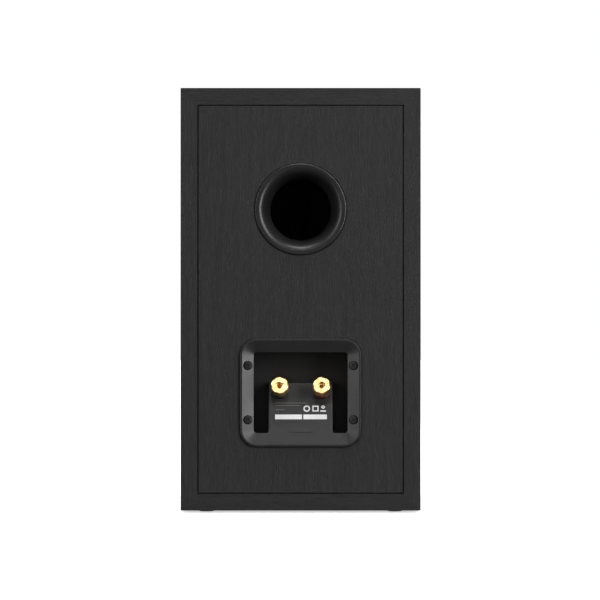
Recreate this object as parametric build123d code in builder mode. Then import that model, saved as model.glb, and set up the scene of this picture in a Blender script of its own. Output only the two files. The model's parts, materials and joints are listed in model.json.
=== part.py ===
"""Two-way bookshelf loudspeaker with a bass-reflex port and a terminal cup on its rear.

Millimetres, +Z up. The front baffle faces -Y, the port and the terminals face +Y, and left is -X.
The origin is on the surface that the feet stand on, at the centre of the overall box.
"""

import math
import os

from build123d import *

os.makedirs("parts", exist_ok=True)

# ---------------------------------------------------------------- driving dimensions
# Cabinet
cabinet_width = 200.0
cabinet_height = 352.0
cabinet_depth = 295.0  # baffle face to rear face
wall_thickness = 15.0
wall_corner_radius = 0.8
joint_chamfer = 0.5  # on each side of the baffle's joint line, so the two make a fine V-groove
baffle_thickness = 18.0
baffle_edge_radius = 3.0
rear_panel_thickness = 16.0
shadow_gap_width = 1.0  # cut into the walls, all round the rear panel
shadow_gap_depth = 4.0
brace_thickness = 12.0
brace_rim = 26.0
brace_window_radius = 14.0

# Feet
foot_radius = 6.7
foot_height = 2.0
foot_edge_radius = 1.7
foot_side_inset = 21.0
foot_end_inset = 30.0

# Grille sockets in the baffle's corners
socket_inset = 14.0
socket_bore_radius = 3.1
socket_bore_depth = 10.0
socket_wall = 2.9
socket_floor = 2.0
socket_rim_width = 1.2
socket_rim_proud = 0.6

# Fits
fit_gap = 0.4  # between a flange and the recess that it drops into
seal_thickness = 1.0
running_clearance = 0.08  # radial, between a turning part and its shaft
stack_gap = 0.15  # between faces that turn or slide on each other

# Woofer, measured from the baffle's face along the driver's axis, outwards positive
woofer_bottom_margin = 16.0
woofer_flange_radius = 88.0
woofer_flange_thickness = 5.0
woofer_flange_proud = 1.0
woofer_flange_rim = 7.0  # width of the raised outer ring that takes the screws
woofer_landing_depth = 2.7  # from the raised ring down to the surround's landing
woofer_landing_width = 6.0
woofer_basket_wall = 3.0
woofer_hub_radius = 50.5
woofer_hub_depth = 46.0
woofer_spoke_count = 6
woofer_spoke_degrees = 16.0
woofer_screw_count = 6
roll_width = 9.2  # the surround's half roll, inside to inside
surround_thickness = 0.8
surround_landing = 2.7
cone_rim_width = 4.2
cone_thickness = 1.2
cone_height = 30.3
cone_bulge = 3.5
dust_cap_radius = 27.0
dust_cap_height = 9.0
dust_cap_thickness = 1.0
coil_radius = 15.5  # inside the former
former_thickness = 0.4
former_length = 25.0
winding_thickness = 0.8
winding_length = 14.0
coil_gap = 0.6  # former to pole
winding_gap = 0.9  # winding to top plate
top_plate_thickness = 6.0
magnet_thickness = 18.0
magnet_radius = 50.0
magnet_bore_radius = 26.0
plate_radius = 48.0
back_plate_thickness = 6.0
pole_vent_radius = 6.0
spider_ledge = 3.5
spider_waves = 4
spider_wave_height = 1.6
spider_thickness = 0.6
pad_proud = 3.5  # of the hub's side, under the terminal strip
strip_thickness = 1.6
strip_length = 20.0

# Tweeter
driver_spacing_gap = 16.0  # between the two drivers' flanges
tweeter_plate_radius = 50.0
tweeter_plate_thickness = 5.0
tweeter_plate_proud = 0.8
horn_radius = 37.0
horn_throat_radius = 17.8
horn_depth = 4.0
tweeter_screw_circle = 44.5
tweeter_screw_count = 4
dome_radius = 13.6
dome_height = 6.6
dome_thickness = 0.5
tweeter_former_length = 5.2
tweeter_winding_thickness = 0.5
tweeter_winding_length = 3.6
tweeter_gap = 0.4
tweeter_roll_width = 1.8
tweeter_surround_thickness = 0.4
tweeter_top_plate_thickness = 4.0
tweeter_magnet_thickness = 10.0
tweeter_magnet_radius = 36.0
tweeter_magnet_bore_radius = 17.0
tweeter_yoke_thickness = 5.0
tweeter_yoke_radius = 34.0
tweeter_chamber_radius = 30.0
tweeter_chamber_length = 20.0
tweeter_chamber_wall = 2.0
tweeter_strip_width = 11.0

# Reflex port, measured from the rear face, outwards positive
port_drop = 101.0  # cabinet top to the port's axis
port_bore_radius = 25.5
port_flange_radius = 38.2
port_flange_proud = 1.6
port_flange_recess = 2.5
port_flange_edge = 1.1
port_mouth_radius = 35.4
port_flare_depth = 24.0
port_wall = 2.0
port_neck_length = 7.0
port_sleeve_length = 12.0
port_length = 140.0  # rear face to the start of the inner flare
port_inner_flare = 8.0

# Terminal cup, measured from the rear face, outwards positive
cup_height_above_base = 98.2  # cabinet's bottom to the cup's centre
cup_width = 101.0
cup_height = 90.0
cup_corner_radius = 14.5
cup_flange_proud = 2.2
cup_flange_recess = 5.0
cup_lip = 1.8
cup_lip_fillet = 0.5
dish_band = 9.5
dish_angle = 22.0
pocket_corner_radius = 2.8
pocket_depth = 36.0
cup_wall = 2.4
desk_width = 53.6
desk_rise = 41.7  # the sloping desk's height, from the pocket's floor
desk_edge_radius = 0.8
cup_screw_side_inset = 6.5  # cup's side to a screw's axis
cup_screw_spacing = 45.2  # from the lower pair of screws to the upper pair
cup_screw_recess_radius = 3.9
cup_screw_recess_depth = 3.7
badge_width = 20.0
badge_height = 4.0
badge_relief = 0.35
badge_slope_place = 2.5  # badge centre up the desk's slope, from its lower edge

# Rating label on the desk
label_width = 45.5
label_height = 18.6
label_thickness = 0.2
label_slope_place = 18.9

# Binding posts, measured from the desk's face along the post's own axis
post_spacing = 35.0
post_slope_place = 37.0
stud_radius = 3.0
stud_recess = 2.5  # from the knob's face in to the stud's end
stud_length_inside = 9.0
banana_bore_radius = 2.0
banana_bore_depth = 14.0
base_radius = 6.9
base_thickness = 2.5
base_shank_radius = 4.6
collar_radius = 6.6
collar_thickness = 4.2
knob_radius = 7.45
knob_length = 8.0
knob_lobes = 6
knob_turn = 10.0  # degrees that the knobs were left turned by
knob_scallop_radius = 5.2
knob_scallop_depth = 0.6
knob_chamfer = 0.5
solder_tag_thickness = 0.8
solder_tag_radius = 6.0
solder_tag_length = 15.0
solder_tag_width = 5.0
post_nut_thickness = 3.0
post_nut_across_flats = 10.0

# Screws
woofer_screw_head_radius = 3.1
woofer_screw_head_height = 1.8
woofer_screw_radius = 2.0
woofer_screw_length = 17.0
tweeter_screw_head_radius = 2.8
tweeter_screw_head_height = 1.5
tweeter_screw_radius = 1.6
tweeter_screw_length = 16.0
cup_screw_head_radius = 3.3
cup_screw_head_height = 1.8
cup_screw_radius = 1.7
cup_screw_length = 13.0
board_screw_head_radius = 2.6
board_screw_head_height = 1.8
board_screw_radius = 1.4
board_screw_length = 14.0
hole_clearance = 0.25

# Crossover board and what it carries
board_width = 96.0
board_length = 112.0
board_thickness = 1.6
board_corner_radius = 3.0
board_hole_inset = 5.5
board_rear_margin = 30.0
standoff_height = 6.0
standoff_radius = 3.6
choke_flange_thickness = 1.5
large_choke_radius = 20.0
large_choke_core_radius = 8.0
large_choke_height = 25.0
small_choke_radius = 13.0
small_choke_core_radius = 6.0
small_choke_height = 16.0
winding_inset = 1.5
capacitor_radius = 8.5
capacitor_length = 31.0
small_capacitor_radius = 6.0
small_capacitor_length = 24.0
resistor_size = 8.5
resistor_length = 26.0
tab_width = 6.3
tab_thickness = 0.8
tab_height = 8.0
tab_spread = 6.0  # from the middle of a driver's strip to each of its two blades
lead_radius = 1.1

# Acoustic wadding
wadding_thickness = 14.0
wadding_margin = 8.0
wadding_edge_radius = 5.0

# ---------------------------------------------------------------- places worked out from them
roll_outer_radius = roll_width / 2 + surround_thickness
surround_crest = roll_outer_radius + woofer_flange_proud - woofer_landing_depth
slope = math.radians(dish_angle)
dish_floor = cup_flange_proud - dish_band * math.tan(slope)
collar_foot = base_thickness + stack_gap
knob_foot = collar_foot + collar_thickness + stack_gap
knob_face = knob_foot + knob_length
stud_length_outside = knob_face - stud_recess
knob_tip = knob_face * math.cos(slope) + (knob_radius - knob_chamfer - post_slope_place) * math.sin(slope)
rear_reach = max(cup_flange_proud, dish_floor + knob_tip)
overall_depth = surround_crest + cabinet_depth + rear_reach
front_y = -overall_depth / 2 + surround_crest
rear_y = front_y + cabinet_depth
base_z = foot_height
top_z = base_z + cabinet_height
wall_front_y = front_y + baffle_thickness
wall_length = cabinet_depth - baffle_thickness
inside_width = cabinet_width - 2 * wall_thickness
inside_height = cabinet_height - 2 * wall_thickness
inside_rear_y = rear_y - rear_panel_thickness
inside_depth = inside_rear_y - wall_front_y
middle_z = base_z + cabinet_height / 2

woofer_z = base_z + woofer_bottom_margin + woofer_flange_radius
tweeter_z = woofer_z + woofer_flange_radius + driver_spacing_gap + tweeter_plate_radius
port_z = top_z - port_drop
cup_z = base_z + cup_height_above_base


def save(piece, name):
    """Label one finished piece and write it as its own STEP file."""
    piece.label = name
    export_step(piece, f"parts/{name}.step")


def front_plane(z, outwards=0.0):
    """Plane facing the listener: local x is +X and local y is +Z."""
    return Plane(origin=(0, front_y - outwards, z), x_dir=(1, 0, 0), z_dir=(0, -1, 0))


def rear_plane(z, outwards=0.0):
    """Plane on the rear face: local x is -X, as seen from behind, and local y is +Z."""
    return Plane(origin=(0, rear_y + outwards, z), x_dir=(-1, 0, 0), z_dir=(0, 1, 0))


def front_profile(z):
    """Half-section plane of a driver: local x runs outwards along its axis and local y is the radius."""
    return Plane(origin=(0, front_y, z), x_dir=(0, -1, 0), z_dir=(-1, 0, 0))


def rear_profile(z):
    """Half-section plane of the port: local x runs outwards along its axis and local y is the radius."""
    return Plane(origin=(0, rear_y, z), x_dir=(0, 1, 0), z_dir=(1, 0, 0))


def driver_axis(z):
    return Axis((0, front_y, z), (0, -1, 0))


def ring_profile(outwards_from, outwards_to, inner_radius, outer_radius):
    """A rectangle in a half-section plane, which revolves into a ring or a disc."""
    with Locations(((outwards_from + outwards_to) / 2, (inner_radius + outer_radius) / 2)):
        Rectangle(abs(outwards_to - outwards_from), outer_radius - inner_radius)


def pan_head_screws(seat, places, head_radius, head_height, shank_radius, shank_length):
    """Screws with domed heads and cross recesses, whose heads stand on the seat plane."""
    recess_length, recess_width, recess_depth = head_radius * 1.1, head_radius * 0.3, head_height * 0.6
    with BuildPart() as screws:
        with BuildSketch(seat):
            with Locations(*places):
                Circle(head_radius)
        extrude(amount=head_height)
        fillet(edges().group_by(Axis((0, 0, 0), seat.z_dir))[-1], radius=head_height * 0.45)
        with BuildSketch(seat):
            with Locations(*places):
                Circle(shank_radius)
        extrude(amount=-shank_length)
        with BuildSketch(seat.offset(head_height)):
            with Locations(*places):
                Rectangle(recess_length, recess_width)
                Rectangle(recess_width, recess_length)
        extrude(amount=-recess_depth, mode=Mode.SUBTRACT)
    return screws.part


def rims(radius):
    """The round edges of one radius on the piece in hand, front to rear."""
    round_edges = edges().filter_by(GeomType.CIRCLE)
    return round_edges.filter_by(lambda e: abs(e.radius - radius) < 0.01).sort_by(Axis.Y)


def polar_places(radius, count, start=0.0):
    """Points spaced evenly round a circle in a plane's own axes."""
    angles = [math.radians(start + 360 * i / count) for i in range(count)]
    return [(radius * math.cos(a), radius * math.sin(a)) for a in angles]


# ---------------------------------------------------------------- cabinet walls
# Four panels of wrapped board, mitred at the corners. Their rear and front edges are eased,
# so that each joint line with the baffle and with the rear panel shows as a fine groove.
half_width = cabinet_width / 2
wall_outlines = {
    "left_side_panel": [
        (-half_width, 0),
        (-half_width + wall_thickness, wall_thickness),
        (-half_width + wall_thickness, cabinet_height - wall_thickness),
        (-half_width, cabinet_height),
    ],
    "right_side_panel": [
        (half_width, 0),
        (half_width, cabinet_height),
        (half_width - wall_thickness, cabinet_height - wall_thickness),
        (half_width - wall_thickness, wall_thickness),
    ],
    "top_panel": [
        (-half_width, cabinet_height),
        (-half_width + wall_thickness, cabinet_height - wall_thickness),
        (half_width - wall_thickness, cabinet_height - wall_thickness),
        (half_width, cabinet_height),
    ],
    "bottom_panel": [
        (-half_width, 0),
        (half_width, 0),
        (half_width - wall_thickness, wall_thickness),
        (-half_width + wall_thickness, wall_thickness),
    ],
}

# Crossover board's place on the bottom panel, which carries its screw holes.
floor_z = base_z + wall_thickness
board_center_y = inside_rear_y - board_rear_margin - board_length / 2
board_hole_x = board_width / 2 - board_hole_inset
board_hole_y = board_length / 2 - board_hole_inset
board_hole_places = [(sx * board_hole_x, sy * board_hole_y) for sx in (-1, 1) for sy in (-1, 1)]
floor_plane = Plane(origin=(0, board_center_y, floor_z))
board_top_plane = floor_plane.offset(standoff_height + board_thickness)
board_screw_pilot_depth = board_screw_length - standoff_height - board_thickness

for wall_name, outline in wall_outlines.items():
    with BuildPart() as wall:
        with BuildSketch(front_plane(base_z, -baffle_thickness)):
            with BuildLine():
                Polyline(*outline, close=True)
            make_face()
            with Locations((0, cabinet_height / 2)):
                RectangleRounded(cabinet_width, cabinet_height, wall_corner_radius, mode=Mode.INTERSECT)
        extrude(amount=-wall_length)
        front_edges = wall.faces().sort_by(Axis.Y)[0].edges()
        along = Axis.Z if "side" in wall_name else Axis.X
        # The outer front edge meets the baffle.
        outer_front = front_edges.filter_by(along).sort_by_distance((0, 0, middle_z))[-1]
        chamfer(outer_front, length=joint_chamfer)
        with BuildSketch(rear_plane(middle_z)):
            Rectangle(inside_width + 2 * shadow_gap_width, inside_height + 2 * shadow_gap_width)
        extrude(amount=-shadow_gap_depth, mode=Mode.SUBTRACT)
        if wall_name == "bottom_panel":
            with BuildSketch(floor_plane):
                with Locations(*board_hole_places):
                    Circle(board_screw_radius)
            extrude(amount=-board_screw_pilot_depth, mode=Mode.SUBTRACT)
    save(wall.part, wall_name)

# ---------------------------------------------------------------- front baffle
# A painted board over the walls' front edges, with a stepped hole for each driver
# and a blind hole for each grille socket.
woofer_recess_depth = woofer_flange_thickness - woofer_flange_proud + seal_thickness
woofer_seat_radius = woofer_flange_radius - woofer_flange_rim - woofer_landing_width
woofer_basket_radius = woofer_seat_radius + woofer_basket_wall - 1
woofer_hole_radius = woofer_basket_radius + 1.0
woofer_screw_circle = woofer_flange_radius - woofer_flange_rim / 2
woofer_screw_places = polar_places(woofer_screw_circle, woofer_screw_count, start=90)
tweeter_recess_depth = tweeter_plate_thickness - tweeter_plate_proud + seal_thickness
tweeter_hole_radius = tweeter_magnet_radius + 1.5
tweeter_screw_places = polar_places(tweeter_screw_circle, tweeter_screw_count, start=45)
socket_radius = socket_bore_radius + socket_wall
socket_hole_depth = socket_bore_depth + socket_floor
socket_x = cabinet_width / 2 - socket_inset
socket_z = cabinet_height / 2 - socket_inset
socket_places = [(sx * socket_x, sz * socket_z) for sx in (-1, 1) for sz in (-1, 1)]

with BuildPart() as front_baffle:
    with BuildSketch(front_plane(middle_z, -baffle_thickness)):
        Rectangle(cabinet_width, cabinet_height)
    extrude(amount=baffle_thickness)
    fillet(faces().sort_by(Axis.Y)[0].edges(), radius=baffle_edge_radius)
    chamfer(faces().sort_by(Axis.Y)[-1].edges(), length=joint_chamfer)
    with BuildSketch(front_plane(woofer_z)):
        Circle(woofer_flange_radius + fit_gap)
    extrude(amount=-woofer_recess_depth, mode=Mode.SUBTRACT)
    with BuildSketch(front_plane(woofer_z)):
        Circle(woofer_hole_radius)
    extrude(amount=-baffle_thickness, mode=Mode.SUBTRACT)
    with BuildSketch(front_plane(tweeter_z)):
        Circle(tweeter_plate_radius + fit_gap)
    extrude(amount=-tweeter_recess_depth, mode=Mode.SUBTRACT)
    with BuildSketch(front_plane(tweeter_z)):
        Circle(tweeter_hole_radius)
    extrude(amount=-baffle_thickness, mode=Mode.SUBTRACT)
    with BuildSketch(front_plane(middle_z)):
        with Locations(*socket_places):
            Circle(socket_radius)
    extrude(amount=-socket_hole_depth, mode=Mode.SUBTRACT)
    with BuildSketch(front_plane(woofer_z)):
        with Locations(*woofer_screw_places):
            Circle(woofer_screw_radius)
    extrude(amount=woofer_flange_proud - woofer_screw_length, mode=Mode.SUBTRACT)
    with BuildSketch(front_plane(tweeter_z)):
        with Locations(*tweeter_screw_places):
            Circle(tweeter_screw_radius)
    extrude(amount=tweeter_plate_proud - tweeter_screw_length, mode=Mode.SUBTRACT)
save(front_baffle.part, "front_baffle")

with BuildPart() as grille_sockets:
    with BuildSketch(front_plane(middle_z)):
        with Locations(*socket_places):
            Circle(socket_radius)
    extrude(amount=-socket_hole_depth)
    with BuildSketch(front_plane(middle_z)):
        with Locations(*socket_places):
            Circle(socket_radius + socket_rim_width)
    extrude(amount=socket_rim_proud)
    with BuildSketch(front_plane(middle_z, socket_rim_proud)):
        with Locations(*socket_places):
            Circle(socket_bore_radius)
    extrude(amount=-(socket_rim_proud + socket_bore_depth), mode=Mode.SUBTRACT)
save(grille_sockets.part, "grille_sockets")

# ---------------------------------------------------------------- rear panel and brace
# A board let in between the walls, and a shelf that ties them.
port_outer_radius = port_bore_radius + 2 * port_wall
flare_width = port_mouth_radius - port_bore_radius
flare_left_below_flange = 1 - (port_flange_proud + port_flange_recess) / port_flare_depth
flare_radius_below_flange = port_mouth_radius - flare_width * math.sqrt(1 - flare_left_below_flange**2)
port_shell_radius = flare_radius_below_flange + port_wall
cup_tub_width = cup_width - 2 * (cup_lip + dish_band) + 2 * cup_wall
cup_tub_height = cup_height - 2 * (cup_lip + dish_band) + 2 * cup_wall
tub_corner_radius = pocket_corner_radius + cup_wall
cup_screw_seat = cup_flange_proud - cup_screw_recess_depth
cup_screw_x = cup_width / 2 - cup_screw_side_inset
cup_screw_z = cup_screw_spacing / 2
cup_screw_places = [(sx * cup_screw_x, sz * cup_screw_z) for sx in (-1, 1) for sz in (-1, 1)]

with BuildPart() as rear_panel:
    with BuildSketch(rear_plane(middle_z, -rear_panel_thickness)):
        Rectangle(inside_width, inside_height)
    extrude(amount=rear_panel_thickness)
    with BuildSketch(rear_plane(port_z)):
        Circle(port_flange_radius + fit_gap)
    extrude(amount=-port_flange_recess, mode=Mode.SUBTRACT)
    with BuildSketch(rear_plane(port_z)):
        Circle(port_shell_radius + fit_gap)
    extrude(amount=-rear_panel_thickness, mode=Mode.SUBTRACT)
    with BuildSketch(rear_plane(cup_z)):
        RectangleRounded(cup_width + 2 * fit_gap, cup_height + 2 * fit_gap, cup_corner_radius + fit_gap)
    extrude(amount=-(cup_flange_recess + seal_thickness), mode=Mode.SUBTRACT)
    with BuildSketch(rear_plane(cup_z)):
        RectangleRounded(cup_tub_width + 2 * fit_gap, cup_tub_height + 2 * fit_gap, tub_corner_radius)
    extrude(amount=-rear_panel_thickness, mode=Mode.SUBTRACT)
    with BuildSketch(rear_plane(cup_z)):
        with Locations(*cup_screw_places):
            Circle(cup_screw_radius)
    extrude(amount=cup_screw_seat - cup_screw_length, mode=Mode.SUBTRACT)
save(rear_panel.part, "rear_panel")

space_above_brace = min(port_z - port_outer_radius, tweeter_z - tweeter_magnet_radius)
brace_z = (woofer_z + woofer_flange_radius + space_above_brace) / 2
window_width = inside_width - 2 * brace_rim
window_length = (inside_depth - 3 * brace_rim) / 2
with BuildPart() as shelf_brace:
    with BuildSketch(Plane(origin=(0, (wall_front_y + inside_rear_y) / 2, brace_z - brace_thickness / 2))):
        Rectangle(inside_width, inside_depth)
        with GridLocations(0, window_length + brace_rim, 1, 2):
            RectangleRounded(window_width, window_length, brace_window_radius, mode=Mode.SUBTRACT)
    extrude(amount=brace_thickness)
save(shelf_brace.part, "shelf_brace")

# ---------------------------------------------------------------- feet
foot_x = cabinet_width / 2 - foot_side_inset
foot_ys = (front_y + foot_end_inset, rear_y - foot_end_inset)
foot_places = [(sx * foot_x, y) for sx in (-1, 1) for y in foot_ys]
with BuildPart() as feet:
    with BuildSketch(Plane.XY.offset(base_z)):
        with Locations(*foot_places):
            Circle(foot_radius)
    extrude(amount=-foot_height)
    fillet(faces().group_by(Axis.Z)[0].edges(), radius=foot_edge_radius)
save(feet.part, "feet")

# ---------------------------------------------------------------- woofer
woofer_axis = driver_axis(woofer_z)
flange_back = woofer_flange_proud - woofer_flange_thickness
landing = woofer_flange_proud - woofer_landing_depth
landing_outer_radius = woofer_flange_radius - woofer_flange_rim
landing_inner_radius = landing_outer_radius - woofer_landing_width
hub_inner_radius = woofer_hub_radius - woofer_basket_wall
hub_front = -woofer_hub_depth + 12.0
spider_seat = -woofer_hub_depth + 9.0
hub_plate_front = -woofer_hub_depth + woofer_basket_wall
pole_radius = coil_radius - coil_gap
former_outer_radius = coil_radius + former_thickness
winding_outer_radius = former_outer_radius + winding_thickness
top_plate_bore_radius = winding_outer_radius + winding_gap
hub_bore_radius = top_plate_bore_radius + 2.4

with BuildPart() as woofer_basket:
    with BuildSketch(front_profile(woofer_z)):
        with BuildLine():
            Polyline(
                (woofer_flange_proud, woofer_flange_radius),
                (woofer_flange_proud, landing_outer_radius),
                (landing, landing_outer_radius),
                (landing, landing_inner_radius),
                (flange_back - 1, landing_inner_radius),
                (hub_front, hub_inner_radius),
                (spider_seat, hub_inner_radius),
                (spider_seat, hub_inner_radius - spider_ledge),
                (hub_plate_front, hub_inner_radius - spider_ledge),
                (hub_plate_front, hub_bore_radius),
                (-woofer_hub_depth, hub_bore_radius),
                (-woofer_hub_depth, woofer_hub_radius),
                (hub_front, woofer_hub_radius),
                (flange_back - woofer_basket_wall, woofer_basket_radius),
                (flange_back, woofer_basket_radius),
                (flange_back, woofer_flange_radius),
                close=True,
            )
        make_face()
    revolve(axis=woofer_axis)
    fillet(rims(woofer_flange_radius)[0], radius=0.8)
    # The openings between the spokes
    window_inner_radius = woofer_hub_radius + 2.0
    window_outer_radius = landing_inner_radius - 2.5
    half_window = math.radians(180 / woofer_spoke_count - woofer_spoke_degrees / 2)
    reach = window_outer_radius / math.cos(half_window)
    with BuildSketch(front_plane(woofer_z, -woofer_hub_depth - 1)):
        for i in range(woofer_spoke_count):
            middle = math.radians(360 * (i + 0.5) / woofer_spoke_count + 90)
            with BuildSketch(mode=Mode.PRIVATE) as window:
                Circle(window_outer_radius)
                Circle(window_inner_radius, mode=Mode.SUBTRACT)
                with BuildLine():
                    Polyline(
                        (0, 0),
                        (reach * math.cos(middle - half_window), reach * math.sin(middle - half_window)),
                        (reach * math.cos(middle + half_window), reach * math.sin(middle + half_window)),
                        close=True,
                    )
                make_face(mode=Mode.INTERSECT)
            add(window.sketch)
    extrude(amount=woofer_hub_depth + 1 + flange_back - woofer_basket_wall, mode=Mode.SUBTRACT)
    # A flat pad on the hub's side for the terminal strip
    pad_face_x = woofer_hub_radius + pad_proud
    with BuildSketch(front_plane(woofer_z, hub_front)):
        with Locations((-pad_face_x / 2, 0)):
            Rectangle(pad_face_x, strip_length)
        Circle(hub_inner_radius, mode=Mode.SUBTRACT)
    extrude(amount=-(woofer_hub_depth + hub_front))
    with BuildSketch(front_plane(woofer_z, woofer_flange_proud)):
        with Locations(*woofer_screw_places):
            Circle(woofer_screw_radius + hole_clearance)
    extrude(amount=-woofer_flange_thickness, mode=Mode.SUBTRACT)
save(woofer_basket.part, "woofer_basket")

woofer_screws = pan_head_screws(
    front_plane(woofer_z, woofer_flange_proud),
    woofer_screw_places,
    woofer_screw_head_radius,
    woofer_screw_head_height,
    woofer_screw_radius,
    woofer_screw_length,
)
save(woofer_screws, "woofer_screws")

# The half roll stands on two flat landings: one on the basket and one on the cone's rim.
roll_inner_radius = roll_width / 2
roll_center_radius = landing_outer_radius - surround_landing - roll_inner_radius
surround_front = landing + surround_thickness
front_half_chord = math.sqrt(roll_outer_radius**2 - surround_thickness**2)
cone_rim_radius = roll_center_radius - roll_inner_radius - 0.4
with BuildPart() as woofer_surround:
    with BuildSketch(front_profile(woofer_z)):
        with BuildLine():
            Line((landing, landing_outer_radius - 0.2), (landing, roll_center_radius + roll_inner_radius))
            ThreePointArc(
                (landing, roll_center_radius + roll_inner_radius),
                (landing + roll_inner_radius, roll_center_radius),
                (landing, roll_center_radius - roll_inner_radius),
            )
            Polyline(
                (landing, roll_center_radius - roll_inner_radius),
                (landing, cone_rim_radius - cone_rim_width),
                (surround_front, cone_rim_radius - cone_rim_width),
                (surround_front, roll_center_radius - front_half_chord),
            )
            ThreePointArc(
                (surround_front, roll_center_radius - front_half_chord),
                (landing + roll_outer_radius, roll_center_radius),
                (surround_front, roll_center_radius + front_half_chord),
            )
            Polyline(
                (surround_front, roll_center_radius + front_half_chord),
                (surround_front, landing_outer_radius - 0.2),
                (landing, landing_outer_radius - 0.2),
            )
        make_face()
    revolve(axis=woofer_axis)
save(woofer_surround.part, "woofer_surround")

# The cone's face is an arc from its rim to its neck, so the dust cap's seat is worked out on it.
cone_top = (landing, cone_rim_radius - cone_rim_width)
cone_neck = (landing - cone_height, former_outer_radius)
chord = math.dist(cone_top, cone_neck)
chord_direction = ((cone_neck[0] - cone_top[0]) / chord, (cone_neck[1] - cone_top[1]) / chord)
bulge_direction = (-chord_direction[1], chord_direction[0])
cone_middle = (
    (cone_top[0] + cone_neck[0]) / 2 + cone_bulge * bulge_direction[0],
    (cone_top[1] + cone_neck[1]) / 2 + cone_bulge * bulge_direction[1],
)
cone_arc_radius = (chord**2 / 4 + cone_bulge**2) / (2 * cone_bulge)
cone_arc_center = (
    cone_middle[0] - cone_arc_radius * bulge_direction[0],
    cone_middle[1] - cone_arc_radius * bulge_direction[1],
)


def cone_face_at(radius):
    """How far outwards the cone's front face is at a radius."""
    return cone_arc_center[0] + math.sqrt(cone_arc_radius**2 - (radius - cone_arc_center[1]) ** 2)


def behind(point):
    return (point[0] - cone_thickness, point[1])


with BuildPart() as woofer_cone:
    with BuildSketch(front_profile(woofer_z)):
        with BuildLine():
            Line((landing, cone_rim_radius), cone_top)
            ThreePointArc(cone_top, cone_middle, cone_neck)
            Line(cone_neck, behind(cone_neck))
            ThreePointArc(behind(cone_neck), behind(cone_middle), behind(cone_top))
            Polyline(behind(cone_top), behind((landing, cone_rim_radius)), (landing, cone_rim_radius))
        make_face()
    revolve(axis=woofer_axis)
save(woofer_cone.part, "woofer_cone")


def dome_outline(rim_outwards, rim_radius, height, thickness):
    """Half section of a domed cap of even thickness, from its rim to its crown and back."""
    outer = (rim_radius**2 + height**2) / (2 * height)
    inner = outer - thickness
    center = rim_outwards + height - outer
    inner_rim = math.sqrt(inner**2 - (rim_outwards - center) ** 2)
    bend = math.asin(rim_radius / outer) / 2
    inner_bend = math.asin(inner_rim / inner) / 2
    ThreePointArc(
        (rim_outwards, rim_radius),
        (center + outer * math.cos(bend), outer * math.sin(bend)),
        (center + outer, 0),
    )
    Line((center + outer, 0), (center + inner, 0))
    ThreePointArc(
        (center + inner, 0),
        (center + inner * math.cos(inner_bend), inner * math.sin(inner_bend)),
        (rim_outwards, inner_rim),
    )
    Line((rim_outwards, inner_rim), (rim_outwards, rim_radius))


with BuildPart() as woofer_dust_cap:
    with BuildSketch(front_profile(woofer_z)):
        with BuildLine():
            dome_outline(cone_face_at(dust_cap_radius), dust_cap_radius, dust_cap_height, dust_cap_thickness)
        make_face()
    revolve(axis=woofer_axis)
save(woofer_dust_cap.part, "woofer_dust_cap")

former_front = cone_neck[0] + 1.0
former_back = former_front - former_length
winding_center = -woofer_hub_depth - top_plate_thickness / 2
with BuildPart() as woofer_coil_former:
    with BuildSketch(front_profile(woofer_z)):
        ring_profile(former_back, former_front, coil_radius, former_outer_radius)
    revolve(axis=woofer_axis)
save(woofer_coil_former.part, "woofer_coil_former")

with BuildPart() as woofer_coil_winding:
    with BuildSketch(front_profile(woofer_z)):
        ring_profile(
            winding_center - winding_length / 2,
            winding_center + winding_length / 2,
            former_outer_radius,
            winding_outer_radius,
        )
    revolve(axis=woofer_axis)
save(woofer_coil_winding.part, "woofer_coil_winding")

# The spider: a corrugated disc from the former to the hub's ledge, each wave two half arcs.
spider_inner_radius = former_outer_radius
spider_outer_radius = hub_inner_radius - 0.3
wave_start = spider_inner_radius + 2.5
wave_end = hub_inner_radius - spider_ledge
half_wave = (wave_end - wave_start) / (2 * spider_waves)


def spider_line(level):
    """One face of the spider, as a run of arcs that rise and fall by turns."""
    Line((level, spider_inner_radius), (level, wave_start))
    for i in range(2 * spider_waves):
        start = wave_start + i * half_wave
        lift = spider_wave_height * (1 if i % 2 == 0 else -0.7)
        ThreePointArc((level, start), (level + lift, start + half_wave / 2), (level, start + half_wave))
    Line((level, wave_end), (level, spider_outer_radius))


with BuildPart() as woofer_spider:
    with BuildSketch(front_profile(woofer_z)):
        with BuildLine():
            spider_line(spider_seat)
            spider_line(spider_seat + spider_thickness)
            Line((spider_seat, spider_inner_radius), (spider_seat + spider_thickness, spider_inner_radius))
            Line((spider_seat, spider_outer_radius), (spider_seat + spider_thickness, spider_outer_radius))
        make_face()
    revolve(axis=woofer_axis)
save(woofer_spider.part, "woofer_spider")

with BuildPart() as woofer_top_plate:
    with BuildSketch(front_profile(woofer_z)):
        ring_profile(
            -woofer_hub_depth - top_plate_thickness, -woofer_hub_depth, top_plate_bore_radius, plate_radius
        )
    revolve(axis=woofer_axis)
save(woofer_top_plate.part, "woofer_top_plate")

magnet_front = -woofer_hub_depth - top_plate_thickness
magnet_back = magnet_front - magnet_thickness
with BuildPart() as woofer_magnet:
    with BuildSketch(front_profile(woofer_z)):
        ring_profile(magnet_back, magnet_front, magnet_bore_radius, magnet_radius)
    revolve(axis=woofer_axis)
    fillet(rims(magnet_radius), radius=1.2)
save(woofer_magnet.part, "woofer_magnet")

yoke_back = magnet_back - back_plate_thickness
with BuildPart() as woofer_yoke:
    with BuildSketch(front_profile(woofer_z)):
        ring_profile(yoke_back, magnet_back, pole_vent_radius, plate_radius)
        ring_profile(magnet_back, -woofer_hub_depth + 0.5, pole_vent_radius, pole_radius)
    revolve(axis=woofer_axis)
    fillet(rims(plate_radius)[-1], radius=1.0)
save(woofer_yoke.part, "woofer_yoke")

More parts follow.
